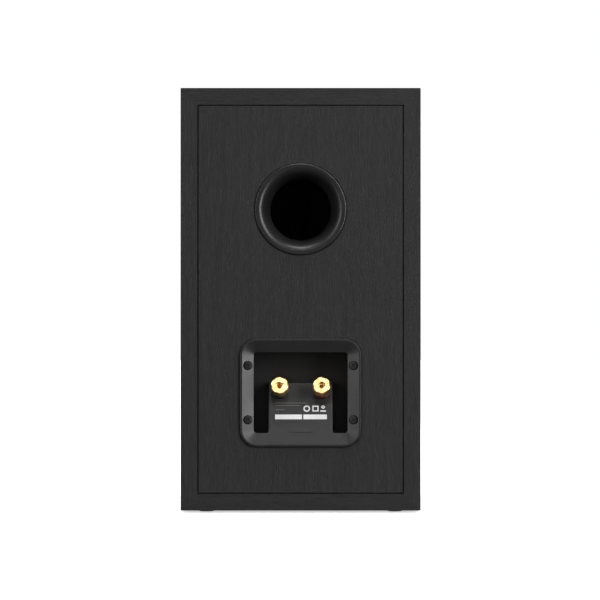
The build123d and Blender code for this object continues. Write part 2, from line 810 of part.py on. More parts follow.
# Terminal strip on the hub's pad: an insulating plate that carries two blades, which point rearwards.
hub_length = woofer_hub_depth + hub_front
strip_center_y = front_y + woofer_hub_depth - hub_length / 2
woofer_strip_plane = Plane(
    origin=(-pad_face_x, strip_center_y, woofer_z), x_dir=(0, 0, 1), z_dir=(-1, 0, 0)
)
woofer_blade_length = hub_length / 2 + tab_height
with BuildPart() as woofer_tabs:
    with BuildSketch(woofer_strip_plane):
        Rectangle(strip_length, hub_length)
    extrude(amount=strip_thickness)
    with BuildSketch(woofer_strip_plane.offset(strip_thickness)):
        with Locations(*[(z, -woofer_blade_length / 2) for z in (-tab_spread, tab_spread)]):
            Rectangle(tab_width, woofer_blade_length)
    extrude(amount=tab_thickness)
save(woofer_tabs.part, "woofer_tabs")

# ---------------------------------------------------------------- tweeter
tweeter_axis = driver_axis(tweeter_z)
plate_back = tweeter_plate_proud - tweeter_plate_thickness
throat = tweeter_plate_proud - horn_depth
with BuildPart() as tweeter_faceplate:
    with BuildSketch(front_profile(tweeter_z)):
        with BuildLine():
            Line((tweeter_plate_proud, tweeter_plate_radius), (tweeter_plate_proud, horn_radius))
            ThreePointArc(
                (tweeter_plate_proud, horn_radius),
                (tweeter_plate_proud - horn_depth * 0.72, (horn_radius + horn_throat_radius) / 2),
                (throat, horn_throat_radius),
            )
            Polyline(
                (throat, horn_throat_radius),
                (plate_back, horn_throat_radius),
                (plate_back, tweeter_plate_radius),
                (tweeter_plate_proud, tweeter_plate_radius),
            )
        make_face()
    revolve(axis=tweeter_axis)
    fillet(rims(tweeter_plate_radius)[0], radius=0.6)
    with BuildSketch(front_plane(tweeter_z, tweeter_plate_proud)):
        with Locations(*tweeter_screw_places):
            Circle(tweeter_screw_radius + hole_clearance)
    extrude(amount=-tweeter_plate_thickness, mode=Mode.SUBTRACT)
save(tweeter_faceplate.part, "tweeter_faceplate")

tweeter_screws = pan_head_screws(
    front_plane(tweeter_z, tweeter_plate_proud),
    tweeter_screw_places,
    tweeter_screw_head_radius,
    tweeter_screw_head_height,
    tweeter_screw_radius,
    tweeter_screw_length,
)
save(tweeter_screws, "tweeter_screws")

# Dome, former and winding move together. The surround's little roll joins them to the top plate.
dome_rim = plate_back + tweeter_surround_thickness
tweeter_former_inner = dome_radius - tweeter_gap
with BuildPart() as tweeter_dome:
    with BuildSketch(front_profile(tweeter_z)):
        with BuildLine():
            dome_outline(dome_rim, dome_radius, dome_height, dome_thickness)
        make_face()
    revolve(axis=tweeter_axis)
save(tweeter_dome.part, "tweeter_dome")

tweeter_winding_radius = dome_radius + tweeter_winding_thickness
tweeter_bore_radius = tweeter_winding_radius + tweeter_gap
tweeter_winding_center = plate_back - tweeter_top_plate_thickness / 2 - 0.6
with BuildPart() as tweeter_voice_coil:
    with BuildSketch(front_profile(tweeter_z)):
        ring_profile(dome_rim - tweeter_former_length, dome_rim, tweeter_former_inner, dome_radius)
        ring_profile(
            tweeter_winding_center - tweeter_winding_length / 2,
            tweeter_winding_center + tweeter_winding_length / 2,
            dome_radius,
            tweeter_winding_radius,
        )
    revolve(axis=tweeter_axis)
save(tweeter_voice_coil.part, "tweeter_voice_coil")

small_roll_inner = tweeter_roll_width / 2
small_roll_outer = small_roll_inner + tweeter_surround_thickness
small_roll_center = dome_radius + 0.6 + small_roll_outer
small_half_chord = math.sqrt(small_roll_outer**2 - tweeter_surround_thickness**2)
with BuildPart() as tweeter_surround:
    with BuildSketch(front_profile(tweeter_z)):
        with BuildLine():
            Polyline(
                (dome_rim, small_roll_center - small_half_chord),
                (dome_rim, dome_radius),
                (plate_back, dome_radius),
                (plate_back, small_roll_center - small_roll_inner),
            )
            ThreePointArc(
                (plate_back, small_roll_center - small_roll_inner),
                (plate_back + small_roll_inner, small_roll_center),
                (plate_back, small_roll_center + small_roll_inner),
            )
            Polyline(
                (plate_back, small_roll_center + small_roll_inner),
                (plate_back, horn_throat_radius - 0.1),
                (dome_rim, horn_throat_radius - 0.1),
                (dome_rim, small_roll_center + small_half_chord),
            )
            ThreePointArc(
                (dome_rim, small_roll_center + small_half_chord),
                (plate_back + small_roll_outer, small_roll_center),
                (dome_rim, small_roll_center - small_half_chord),
            )
        make_face()
    revolve(axis=tweeter_axis)
save(tweeter_surround.part, "tweeter_surround")

tweeter_magnet_front = plate_back - tweeter_top_plate_thickness
tweeter_magnet_back = tweeter_magnet_front - tweeter_magnet_thickness
tweeter_yoke_back = tweeter_magnet_back - tweeter_yoke_thickness
with BuildPart() as tweeter_top_plate:
    with BuildSketch(front_profile(tweeter_z)):
        ring_profile(tweeter_magnet_front, plate_back, tweeter_bore_radius, tweeter_yoke_radius)
    revolve(axis=tweeter_axis)
save(tweeter_top_plate.part, "tweeter_top_plate")

with BuildPart() as tweeter_magnet:
    with BuildSketch(front_profile(tweeter_z)):
        ring_profile(
            tweeter_magnet_back, tweeter_magnet_front, tweeter_magnet_bore_radius, tweeter_magnet_radius
        )
    revolve(axis=tweeter_axis)
save(tweeter_magnet.part, "tweeter_magnet")

with BuildPart() as tweeter_yoke:
    with BuildSketch(front_profile(tweeter_z)):
        ring_profile(tweeter_yoke_back, tweeter_magnet_back, 0, tweeter_yoke_radius)
        ring_profile(tweeter_magnet_back, plate_back - 0.4, 0, tweeter_former_inner - tweeter_gap)
    revolve(axis=tweeter_axis)
save(tweeter_yoke.part, "tweeter_yoke")

chamber_back = tweeter_yoke_back - tweeter_chamber_length
with BuildPart() as tweeter_rear_chamber:
    with BuildSketch(front_profile(tweeter_z)):
        ring_profile(chamber_back, chamber_back + tweeter_chamber_wall, 0, tweeter_chamber_radius)
        ring_profile(
            chamber_back + tweeter_chamber_wall,
            tweeter_yoke_back,
            tweeter_chamber_radius - tweeter_chamber_wall,
            tweeter_chamber_radius,
        )
    revolve(axis=tweeter_axis)
save(tweeter_rear_chamber.part, "tweeter_rear_chamber")

tweeter_strip_plane = Plane(
    origin=(0, front_y - chamber_back, tweeter_z), x_dir=(-1, 0, 0), z_dir=(0, 1, 0)
)
with BuildPart() as tweeter_tabs:
    with BuildSketch(tweeter_strip_plane):
        Rectangle(strip_length, tweeter_strip_width)
    extrude(amount=strip_thickness)
    with BuildSketch(tweeter_strip_plane.offset(strip_thickness)):
        with Locations((-tab_spread, 0), (tab_spread, 0)):
            Rectangle(tab_thickness, tab_width)
    extrude(amount=tab_height)
save(tweeter_tabs.part, "tweeter_tabs")

# Foam rings that seal the two drivers against the baffle.
with BuildPart() as driver_gaskets:
    with BuildSketch(front_plane(woofer_z, -woofer_recess_depth)):
        Circle(woofer_flange_radius - 0.5)
        Circle(woofer_hole_radius + 0.3, mode=Mode.SUBTRACT)
        with Locations(*woofer_screw_places):
            Circle(woofer_screw_radius + hole_clearance, mode=Mode.SUBTRACT)
    extrude(amount=seal_thickness)
    with BuildSketch(front_plane(tweeter_z, -tweeter_recess_depth)):
        Circle(tweeter_plate_radius - 0.5)
        Circle(tweeter_hole_radius + 0.3, mode=Mode.SUBTRACT)
        with Locations(*tweeter_screw_places):
            Circle(tweeter_screw_radius + hole_clearance, mode=Mode.SUBTRACT)
    extrude(amount=seal_thickness)
save(driver_gaskets.part, "driver_gaskets")

# ---------------------------------------------------------------- reflex port
# A moulded flare whose shell tapers through the panel to a neck, and a tube that plugs into its sleeve.
port_axis = Axis((0, rear_y, port_z), (0, 1, 0))
flare_end = port_flange_proud - port_flare_depth
neck_end = flare_end - port_neck_length
sleeve_end = neck_end - port_sleeve_length
tube_outer_radius = port_bore_radius + port_wall
with BuildPart() as port_flare:
    with BuildSketch(rear_profile(port_z)):
        with BuildLine():
            Line((port_flange_proud, port_flange_radius), (port_flange_proud, port_mouth_radius))
            EllipticalCenterArc(
                (flare_end, port_mouth_radius), port_flare_depth, flare_width, start_angle=270, arc_size=90
            )
            Polyline(
                (flare_end, port_bore_radius),
                (neck_end, port_bore_radius),
                (neck_end, tube_outer_radius),
                (sleeve_end, tube_outer_radius),
                (sleeve_end, port_outer_radius),
                (-rear_panel_thickness, port_outer_radius),
                (-port_flange_recess, port_shell_radius),
                (-port_flange_recess, port_flange_radius),
                (port_flange_proud, port_flange_radius),
            )
        make_face()
    revolve(axis=port_axis)
    fillet(rims(port_flange_radius)[-1], radius=port_flange_edge)
save(port_flare.part, "port_flare")

inner_mouth_radius = port_bore_radius + port_inner_flare
with BuildPart() as port_tube:
    with BuildSketch(rear_profile(port_z)):
        with BuildLine():
            Line((neck_end, port_bore_radius), (-port_length, port_bore_radius))
            RadiusArc(
                (-port_length, port_bore_radius),
                (-port_length - port_inner_flare, inner_mouth_radius),
                port_inner_flare,
            )
            Line(
                (-port_length - port_inner_flare, inner_mouth_radius),
                (-port_length - port_inner_flare + port_wall, inner_mouth_radius),
            )
            RadiusArc(
                (-port_length - port_inner_flare + port_wall, inner_mouth_radius),
                (-port_length, tube_outer_radius),
                -(port_inner_flare - port_wall),
            )
            Polyline(
                (-port_length, tube_outer_radius), (neck_end, tube_outer_radius), (neck_end, port_bore_radius)
            )
        make_face()
    revolve(axis=port_axis)
save(port_tube.part, "port_tube")

# ---------------------------------------------------------------- terminal cup
pocket_width = cup_tub_width - 2 * cup_wall
pocket_height = cup_tub_height - 2 * cup_wall
pocket_floor_z = cup_z - pocket_height / 2
pocket_back_y = rear_y - pocket_depth
desk_low_y = rear_y + dish_floor
desk_top_y = desk_low_y - desk_rise * math.tan(slope)
desk_top_z = pocket_floor_z + desk_rise
side_plane = Plane.YZ.offset(desk_width / 2)
hollow_shift = cup_wall / math.cos(slope)
hollow_top_z = desk_top_z - cup_wall
hollow_top_y = desk_low_y - (desk_rise - cup_wall) * math.tan(slope) - hollow_shift

desk_normal = Vector(0, math.cos(slope), math.sin(slope))
desk_up = Vector(0, -math.sin(slope), math.cos(slope))


def desk_plane(up_slope, x=0.0, out=0.0):
    """Plane on the sloping desk: local x is -X, local y runs up the slope, z points away from it."""
    origin = Vector(x, desk_low_y, pocket_floor_z) + desk_up * up_slope + desk_normal * out
    return Plane(origin=origin, x_dir=(-1, 0, 0), z_dir=desk_normal)


with BuildPart() as terminal_cup:
    with BuildSketch(rear_plane(cup_z, -cup_flange_recess)):
        RectangleRounded(cup_width, cup_height, cup_corner_radius)
    extrude(amount=cup_flange_recess + cup_flange_proud)
    fillet(faces().sort_by(Axis.Y)[-1].edges(), radius=cup_lip_fillet)
    with BuildSketch(rear_plane(cup_z, -cup_flange_recess)):
        RectangleRounded(cup_tub_width, cup_tub_height, tub_corner_radius)
    extrude(amount=-(pocket_depth + cup_wall - cup_flange_recess))
    # The dish: its sides slope in from the lip to the pocket's edge.
    with BuildSketch(rear_plane(cup_z, cup_flange_proud)):
        RectangleRounded(cup_width - 2 * cup_lip, cup_height - 2 * cup_lip, cup_corner_radius - cup_lip)
    with BuildSketch(rear_plane(cup_z, dish_floor)):
        RectangleRounded(pocket_width, pocket_height, pocket_corner_radius)
    loft(mode=Mode.SUBTRACT)
    with BuildSketch(rear_plane(cup_z, dish_floor)):
        RectangleRounded(pocket_width, pocket_height, pocket_corner_radius)
    extrude(amount=-(pocket_depth + dish_floor), mode=Mode.SUBTRACT)
    # The desk that carries the posts rises from the pocket's lower edge. It is hollow behind.
    with BuildSketch(side_plane):
        with BuildLine():
            Polyline(
                (desk_low_y, pocket_floor_z),
                (desk_top_y, desk_top_z),
                (pocket_back_y, desk_top_z),
                (pocket_back_y, pocket_floor_z - cup_wall / 2),
                (desk_low_y - cup_wall, pocket_floor_z - cup_wall / 2),
                close=True,
            )
        make_face()
    extrude(amount=-desk_width)
    desk_sides = edges().filter_by(
        lambda e: abs(abs(e.center().X) - desk_width / 2) < 0.01
        and abs(e.tangent_at(0.5).dot(desk_up)) > 0.999
    )
    desk_head = edges().filter_by(Axis.X).filter_by(
        lambda e: (e.center() - Vector(0, desk_top_y, desk_top_z)).length < 0.1
    )
    fillet(desk_sides + desk_head, radius=desk_edge_radius)
    slot_corners = edges().filter_by(Axis.Y).filter_by(
        lambda e: abs(abs(e.center().X) - desk_width / 2) < 0.01
        and abs(e.center().Z - pocket_floor_z) < 0.01
    )
    fillet(slot_corners, radius=pocket_corner_radius)
    with BuildSketch(side_plane.offset(-cup_wall)):
        with BuildLine():
            Polyline(
                (desk_low_y - hollow_shift, pocket_floor_z),
                (hollow_top_y, hollow_top_z),
                (pocket_back_y - 2 * cup_wall, hollow_top_z),
                (pocket_back_y - 2 * cup_wall, pocket_floor_z),
                close=True,
            )
        make_face()
    extrude(amount=-(desk_width - 2 * cup_wall), mode=Mode.SUBTRACT)
    # Holes for the screws, each with a flat seat sunk into the sloping side, and for the posts.
    with BuildSketch(rear_plane(cup_z, cup_flange_proud)):
        with Locations(*cup_screw_places):
            Circle(cup_screw_recess_radius)
    extrude(amount=-cup_screw_recess_depth, mode=Mode.SUBTRACT)
    with BuildSketch(rear_plane(cup_z, cup_flange_proud)):
        with Locations(*cup_screw_places):
            Circle(cup_screw_radius + hole_clearance)
    extrude(amount=-(cup_flange_proud + cup_flange_recess), mode=Mode.SUBTRACT)
    with BuildSketch(desk_plane(post_slope_place, out=1)):
        with Locations((-post_spacing / 2, 0), (post_spacing / 2, 0)):
            Circle(base_shank_radius)
    extrude(amount=-(cup_wall + 2), mode=Mode.SUBTRACT)
    # A blank raised bar where the desk runs out into the dish
    with BuildSketch(desk_plane(badge_slope_place)):
        SlotOverall(badge_width, badge_height)
    extrude(amount=badge_relief)
save(terminal_cup.part, "terminal_cup")

with BuildPart() as terminal_cup_gasket:
    with BuildSketch(rear_plane(cup_z, -cup_flange_recess)):
        RectangleRounded(cup_width - 1, cup_height - 1, cup_corner_radius)
        RectangleRounded(
            cup_tub_width + 2 * fit_gap, cup_tub_height + 2 * fit_gap, tub_corner_radius, mode=Mode.SUBTRACT
        )
        with Locations(*cup_screw_places):
            Circle(cup_screw_radius + hole_clearance, mode=Mode.SUBTRACT)
    extrude(amount=-seal_thickness)
save(terminal_cup_gasket.part, "terminal_cup_gasket")

terminal_cup_screws = pan_head_screws(
    rear_plane(cup_z, cup_screw_seat),
    cup_screw_places,
    cup_screw_head_radius,
    cup_screw_head_height,
    cup_screw_radius,
    cup_screw_length,
)
save(terminal_cup_screws, "terminal_cup_screws")

with BuildPart() as rating_label:
    with BuildSketch(desk_plane(label_slope_place)):
        RectangleRounded(label_width, label_height, 0.8)
    extrude(amount=label_thickness)
save(rating_label.part, "rating_label")

# ---------------------------------------------------------------- binding posts
# Seen from behind, the negative post is on the left (+X) and the positive one on the right (-X).
post_x = {"negative": post_spacing / 2, "positive": -post_spacing / 2}
moving_bore_radius = stud_radius + running_clearance
scallop_center = knob_radius + knob_scallop_radius - knob_scallop_depth

for pole, x in post_x.items():
    with BuildPart() as post_base:
        with BuildSketch(desk_plane(post_slope_place, x)):
            Circle(base_radius)
        extrude(amount=base_thickness)
        fillet(edges().group_by(Axis((0, 0, 0), desk_normal))[-1], radius=0.5)
        with BuildSketch(desk_plane(post_slope_place, x)):
            Circle(base_shank_radius)
        extrude(amount=-cup_wall)
        with BuildSketch(desk_plane(post_slope_place, x, base_thickness)):
            Circle(stud_radius)
        extrude(amount=-(base_thickness + cup_wall), mode=Mode.SUBTRACT)
    save(post_base.part, f"{pole}_post_base")

    with BuildPart() as post_stud:
        with BuildSketch(desk_plane(post_slope_place, x, -stud_length_inside)):
            Circle(stud_radius)
        extrude(amount=stud_length_inside + stud_length_outside)
        chamfer(edges().group_by(Axis((0, 0, 0), desk_normal))[-1], length=0.3)
        with BuildSketch(desk_plane(post_slope_place, x, stud_length_outside)):
            Circle(banana_bore_radius)
        extrude(amount=-banana_bore_depth, mode=Mode.SUBTRACT)
    save(post_stud.part, f"{pole}_post_stud")

    with BuildPart() as post_collar:
        with BuildSketch(desk_plane(post_slope_place, x, collar_foot)):
            Circle(collar_radius)
            Circle(moving_bore_radius, mode=Mode.SUBTRACT)
        extrude(amount=collar_thickness)
    save(post_collar.part, f"{pole}_post_collar")

    with BuildPart() as post_knob:
        with BuildSketch(desk_plane(post_slope_place, x, knob_foot)):
            Circle(knob_radius)
            with PolarLocations(scallop_center, knob_lobes, start_angle=knob_turn):
                Circle(knob_scallop_radius, mode=Mode.SUBTRACT)
        extrude(amount=knob_length)
        chamfer(edges().group_by(Axis((0, 0, 0), desk_normal))[-1], length=knob_chamfer)
        with BuildSketch(desk_plane(post_slope_place, x, knob_face)):
            Circle(moving_bore_radius)
        extrude(amount=-knob_length, mode=Mode.SUBTRACT)
    save(post_knob.part, f"{pole}_post_knob")

with BuildPart() as post_solder_tags:
    with BuildSketch(desk_plane(post_slope_place, out=-cup_wall)):
        for x in post_x.values():
            with Locations((x, 0)):
                Circle(solder_tag_radius)
            with Locations((x, -solder_tag_length / 2)):
                Rectangle(solder_tag_width, solder_tag_length)
            with Locations((x, 0)):
                Circle(stud_radius, mode=Mode.SUBTRACT)
    extrude(amount=-solder_tag_thickness)
save(post_solder_tags.part, "post_solder_tags")

with BuildPart() as post_nuts:
    with BuildSketch(desk_plane(post_slope_place, out=-cup_wall - solder_tag_thickness)):
        for x in post_x.values():
            with Locations((x, 0)):
                RegularPolygon(post_nut_across_flats / 2, 6, major_radius=False)
                Circle(stud_radius, mode=Mode.SUBTRACT)
    extrude(amount=-post_nut_thickness)
save(post_nuts.part, "post_nuts")

# ---------------------------------------------------------------- crossover
with BuildPart() as crossover_standoffs:
    with BuildSketch(floor_plane):
        with Locations(*board_hole_places):
            Circle(standoff_radius)
            Circle(board_screw_radius + hole_clearance, mode=Mode.SUBTRACT)
    extrude(amount=standoff_height)
save(crossover_standoffs.part, "crossover_standoffs")

with BuildPart() as crossover_board:
    with BuildSketch(floor_plane.offset(standoff_height)):
        RectangleRounded(board_width, board_length, board_corner_radius)
        with Locations(*board_hole_places):
            Circle(board_screw_radius + hole_clearance, mode=Mode.SUBTRACT)
    extrude(amount=board_thickness)
save(crossover_board.part, "crossover_board")

crossover_screws = pan_head_screws(
    board_top_plane,
    board_hole_places,
    board_screw_head_radius,
    board_screw_head_height,
    board_screw_radius,
    board_screw_length,
)
save(crossover_screws, "crossover_screws")

# Chokes: copper wound on a spool. Places are on the board, in its own x and y.
large_choke_place = (-board_width / 2 + large_choke_radius + 4, -board_length / 2 + large_choke_radius + 14)
small_choke_place = (board_width / 2 - small_choke_radius - 8, -board_length / 2 + small_choke_radius + 14)
chokes = [
    (large_choke_place, large_choke_radius, large_choke_core_radius, large_choke_height),
    (small_choke_place, small_choke_radius, small_choke_core_radius, small_choke_height),
]
with BuildPart() as choke_spools:
    for place, radius, core_radius, height in chokes:
        for level, spool_radius, thickness in (
            (0, radius, choke_flange_thickness),
            (choke_flange_thickness, core_radius, height - 2 * choke_flange_thickness),
            (height - choke_flange_thickness, radius, choke_flange_thickness),
        ):
            with BuildSketch(board_top_plane.offset(level)):
                with Locations(place):
                    Circle(spool_radius)
            extrude(amount=thickness)
save(choke_spools.part, "choke_spools")

with BuildPart() as choke_windings:
    for place, radius, core_radius, height in chokes:
        with BuildSketch(board_top_plane.offset(choke_flange_thickness)):
            with Locations(place):
                Circle(radius - winding_inset)
                Circle(core_radius, mode=Mode.SUBTRACT)
        extrude(amount=height - 2 * choke_flange_thickness)
save(choke_windings.part, "choke_windings")

# Capacitors lie on their sides across the rear half of the board, and the resistor beside them.
capacitor_row = [
    (capacitor_radius, capacitor_length, (-22.0, 8.0)),
    (capacitor_radius, capacitor_length, (-22.0, 28.0)),
    (small_capacitor_radius, small_capacitor_length, (20.0, 30.0)),
]
with BuildPart() as crossover_capacitors:
    for radius, length, place in capacitor_row:
        lying = Plane(
            origin=board_top_plane.origin + Vector(place[0] - length / 2, place[1], radius),
            x_dir=(0, 1, 0),
            z_dir=(1, 0, 0),
        )
        with BuildSketch(lying):
            Circle(radius)
        extrude(amount=length)
    fillet(edges().filter_by(GeomType.CIRCLE), radius=1.0)
save(crossover_capacitors.part, "crossover_capacitors")

with BuildPart() as crossover_resistor:
    with BuildSketch(board_top_plane):
        with Locations((20.0, 12.0)):
            Rectangle(resistor_length, resistor_size)
    extrude(amount=resistor_size)
    chamfer(edges().filter_by(Axis.X).group_by(Axis.Z)[-1], length=0.8)
save(crossover_resistor.part, "crossover_resistor")

# Blade tabs: one pair for each lead pair, along the board's edges.
tab_margin = 6.0
input_tab_places = [(-14.0, board_length / 2 - tab_margin), (14.0, board_length / 2 - tab_margin)]
woofer_tab_places = [(-12.0, -board_length / 2 + tab_margin), (0.0, -board_length / 2 + tab_margin)]
tweeter_tab_places = [(board_width / 2 - tab_margin, -8.0), (board_width / 2 - tab_margin, 2.0)]
with BuildPart() as crossover_tabs:
    with BuildSketch(board_top_plane):
        with Locations(*input_tab_places, *woofer_tab_places):
            Rectangle(tab_width, tab_thickness)
        with Locations(*tweeter_tab_places):
            Rectangle(tab_thickness, tab_width)
    extrude(amount=tab_height)
save(crossover_tabs.part, "crossover_tabs")

# ---------------------------------------------------------------- internal leads
# Stranded hook-up wire from the posts to the crossover, and from there to each driver.
tab_top_z = board_top_plane.origin.Z + tab_height


def bend_radii(points):
    """One arc radius for each corner of a route, as large as its two runs allow."""
    radii = []
    for before, corner, after in zip(points, points[1:], points[2:]):
        into, out = Vector(corner) - Vector(before), Vector(after) - Vector(corner)
        half_turn = math.radians(into.get_angle(out)) / 2
        radii.append(0.45 * min(into.length, out.length) / math.tan(half_turn))
    return radii


def lead_line(points):
    """The centre line of one lead: straight runs joined by tangent arcs."""
    radii = bend_radii(points)
    print("lead radii", [round(r, 1) for r in radii])
    with BuildLine() as route:
        FilletPolyline(*points, radius=radii)
    return route.wires()[0]


def input_route(x, place):
    """From a post's solder tag, out behind the desk and down to the board's rear edge."""
    tongue = desk_plane(post_slope_place - solder_tag_length + 2.5, x, -cup_wall - solder_tag_thickness)
    start = tongue.origin
    tab = (place[0], board_center_y + place[1], tab_top_z)
    return [
        tuple(start),
        tuple(start - desk_normal * 20),
        (x * 0.9, tab[1] - 1.5, tab_top_z + 36),
        (tab[0], tab[1], tab_top_z + 17),
        tab,
    ]


def woofer_route(z_shift, place, sag):
    """From a blade on the basket back past the magnet and down to the board's front edge."""
    blade = (
        -pad_face_x - strip_thickness - tab_thickness / 2,
        strip_center_y + woofer_blade_length,
        woofer_z + z_shift,
    )
    tab = (place[0], board_center_y + place[1], tab_top_z)
    return [
        blade,
        (blade[0], blade[1] + 22, blade[2]),
        (blade[0] + 5, blade[1] + 44, blade[2] - 16 - sag * 0.5),
        (place[0] - 20 - sag, tab[1] - 20, tab_top_z + 42 - sag * 0.4),
        (tab[0], tab[1], tab_top_z + 21),
        tab,
    ]


def tweeter_route(x_shift, place, side):
    """From a blade behind the tweeter, down through the brace's front window to the board's side."""
    blade = (x_shift, tweeter_strip_plane.origin.Y + strip_thickness + tab_height, tweeter_z)
    tab = (place[0], board_center_y + place[1], tab_top_z)
    return [
        blade,
        (x_shift, blade[1] + 24, tweeter_z),
        (x_shift * 1.3 + side * 0.3, blade[1] + 41, tweeter_z - 27),
        (x_shift * 1.2 + side * 0.5, blade[1] + 43, brace_z - 9),
        (x_shift + side, blade[1] + 56, brace_z - 52),
        (x_shift * 0.8 + side * 1.5, blade[1] + 84, brace_z - 98),
        (place[0] - 4 + x_shift * 0.5, tab[1] - 22, tab_top_z + 48),
        (tab[0], tab[1], tab_top_z + 22),
        tab,
    ]


positive_routes = [
    input_route(post_x["positive"], input_tab_places[0]),
    woofer_route(tab_spread, woofer_tab_places[1], 0.0),
    tweeter_route(tab_spread, tweeter_tab_places[1], 18.0),
]
negative_routes = [
    input_route(post_x["negative"], input_tab_places[1]),
    woofer_route(-tab_spread, woofer_tab_places[0], 9.0),
    tweeter_route(-tab_spread, tweeter_tab_places[0], 20.0),
]
for pole, routes in (("positive", positive_routes), ("negative", negative_routes)):
    lines = [lead_line(points) for points in routes]
    with BuildPart() as leads:
        for line in lines:
            with BuildSketch(Plane(origin=line @ 0, z_dir=line % 0)):
                Circle(lead_radius)
            sweep(path=line)
    expected = sum(line.length for line in lines) * math.pi * lead_radius**2
    print(pole, "leads volume", round(leads.part.volume), "expected", round(expected))
    save(leads.part, f"{pole}_leads")

# ---------------------------------------------------------------- acoustic wadding
# Polyester pads on the side walls beside the woofer, and one under the top panel.
side_pad_bottom = floor_z + standoff_height + board_thickness + wadding_margin
side_pad_top = brace_z - brace_thickness / 2 - wadding_margin
side_pad_front = front_y - yoke_back + wadding_margin
side_pad_rear = inside_rear_y - wadding_margin
with BuildPart() as side_wadding:
    for side in (-1, 1):
        pad_x = side * (inside_width / 2 - wadding_thickness / 2)
        with Locations((pad_x, (side_pad_front + side_pad_rear) / 2, (side_pad_bottom + side_pad_top) / 2)):
            Box(wadding_thickness, side_pad_rear - side_pad_front, side_pad_top - side_pad_bottom)
    fillet(edges(), radius=wadding_edge_radius)
save(side_wadding.part, "side_wadding")

with BuildPart() as top_wadding:
    ceiling_z = top_z - wall_thickness
    with Locations((0, (wall_front_y + inside_rear_y) / 2, ceiling_z - wadding_thickness / 2)):
        Box(inside_width - 4 * wadding_margin, inside_depth - 6 * wadding_margin, wadding_thickness)
    fillet(edges(), radius=wadding_edge_radius)
save(top_wadding.part, "top_wadding")
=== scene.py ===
"""Two-way bookshelf loudspeaker, finished piece by piece in the order that it is put together.

Metres, +Z up. The baffle faces -Y, and the port and the terminal cup face +Y.
"""

import json
import math
import random

import bmesh
import bpy
from mathutils import Matrix, Vector
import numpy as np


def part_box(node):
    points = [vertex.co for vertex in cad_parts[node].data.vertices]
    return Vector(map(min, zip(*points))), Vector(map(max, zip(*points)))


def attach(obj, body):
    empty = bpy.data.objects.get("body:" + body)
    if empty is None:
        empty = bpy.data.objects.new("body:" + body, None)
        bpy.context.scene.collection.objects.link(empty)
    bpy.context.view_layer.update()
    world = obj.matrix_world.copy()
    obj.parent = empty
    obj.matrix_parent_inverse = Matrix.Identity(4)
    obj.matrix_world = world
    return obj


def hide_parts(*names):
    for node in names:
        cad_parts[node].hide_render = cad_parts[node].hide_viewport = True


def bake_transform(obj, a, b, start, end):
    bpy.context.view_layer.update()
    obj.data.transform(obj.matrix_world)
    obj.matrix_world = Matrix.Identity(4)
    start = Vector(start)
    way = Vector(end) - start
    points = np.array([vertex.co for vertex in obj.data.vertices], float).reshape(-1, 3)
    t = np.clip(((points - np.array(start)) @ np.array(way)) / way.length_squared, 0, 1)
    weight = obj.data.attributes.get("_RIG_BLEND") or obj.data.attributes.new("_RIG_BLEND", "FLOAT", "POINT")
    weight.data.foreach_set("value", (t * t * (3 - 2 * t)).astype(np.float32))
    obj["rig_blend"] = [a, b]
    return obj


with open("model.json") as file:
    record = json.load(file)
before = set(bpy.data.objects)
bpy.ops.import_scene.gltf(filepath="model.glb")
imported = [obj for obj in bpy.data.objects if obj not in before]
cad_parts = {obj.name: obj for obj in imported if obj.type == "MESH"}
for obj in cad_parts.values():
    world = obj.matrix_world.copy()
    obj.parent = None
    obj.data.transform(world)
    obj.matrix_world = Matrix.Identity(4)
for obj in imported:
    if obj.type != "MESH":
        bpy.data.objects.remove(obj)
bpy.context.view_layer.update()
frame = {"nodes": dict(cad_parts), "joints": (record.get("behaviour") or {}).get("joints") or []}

bpy.ops.object.select_all(action="DESELECT")

# ---------------------------------------------------------------- studio
# The cabinet stands on a pale floor that is lit from below, under a broad overhead light. Two tall
# soft boxes stand behind it, the stronger one at -X, and a small one hangs above. Two more light
# the baffle.
rear_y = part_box("left_side_panel")[1].y
middle_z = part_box("top_panel")[1].z / 2
view_distance = 3.2
view_width = 0.49967  # at the rear face
sensor_width = 0.036

camera_data = bpy.data.cameras.new("camera")
camera_data.sensor_width = sensor_width * 1000
camera_data.lens = camera_data.sensor_width * view_distance / view_width
camera_data.clip_end = 50
camera = bpy.data.objects.new("camera", camera_data)
camera.location = (0.00052, rear_y + view_distance, 0.1774)
camera.rotation_euler = (math.radians(90), 0, math.radians(180))
bpy.context.collection.objects.link(camera)
bpy.context.scene.camera = camera
bpy.context.scene.view_settings.view_transform = "Standard"


def soft_box(name, place, width, height, watts):
    """A rectangular soft box that faces the middle of the cabinet."""
    light = bpy.data.lights.new(name, "AREA")
    light.shape = "RECTANGLE"
    light.size = width
    light.size_y = height
    light.energy = watts
    lamp = bpy.data.objects.new(name, light)
    lamp.location = place
    facing = Vector((0, 0, middle_z)) - Vector(place)
    lamp.rotation_euler = facing.to_track_quat("-Z", "Y").to_euler()
    bpy.context.collection.objects.link(lamp)


soft_box("rear_left_box", (-1.5, 1.6, 0.5), 0.7, 2.1, 63)
soft_box("rear_right_box", (1.65, 1.6, 0.6), 0.6, 2.0, 23)
soft_box("overhead_box", (0, 1.85, 1.8), 0.36, 0.3, 4.6)
soft_box("front_left_box", (-1.2, -1.7, 0.9), 1.0, 1.4, 34)
soft_box("front_right_box", (1.4, -1.5, 0.8), 0.9, 1.3, 18)

ceiling = bpy.data.lights.new("ceiling_light", "SUN")
ceiling.energy = 3.5
ceiling.angle = math.radians(40)
ceiling_lamp = bpy.data.objects.new("ceiling_light", ceiling)
bpy.context.collection.objects.link(ceiling_lamp)

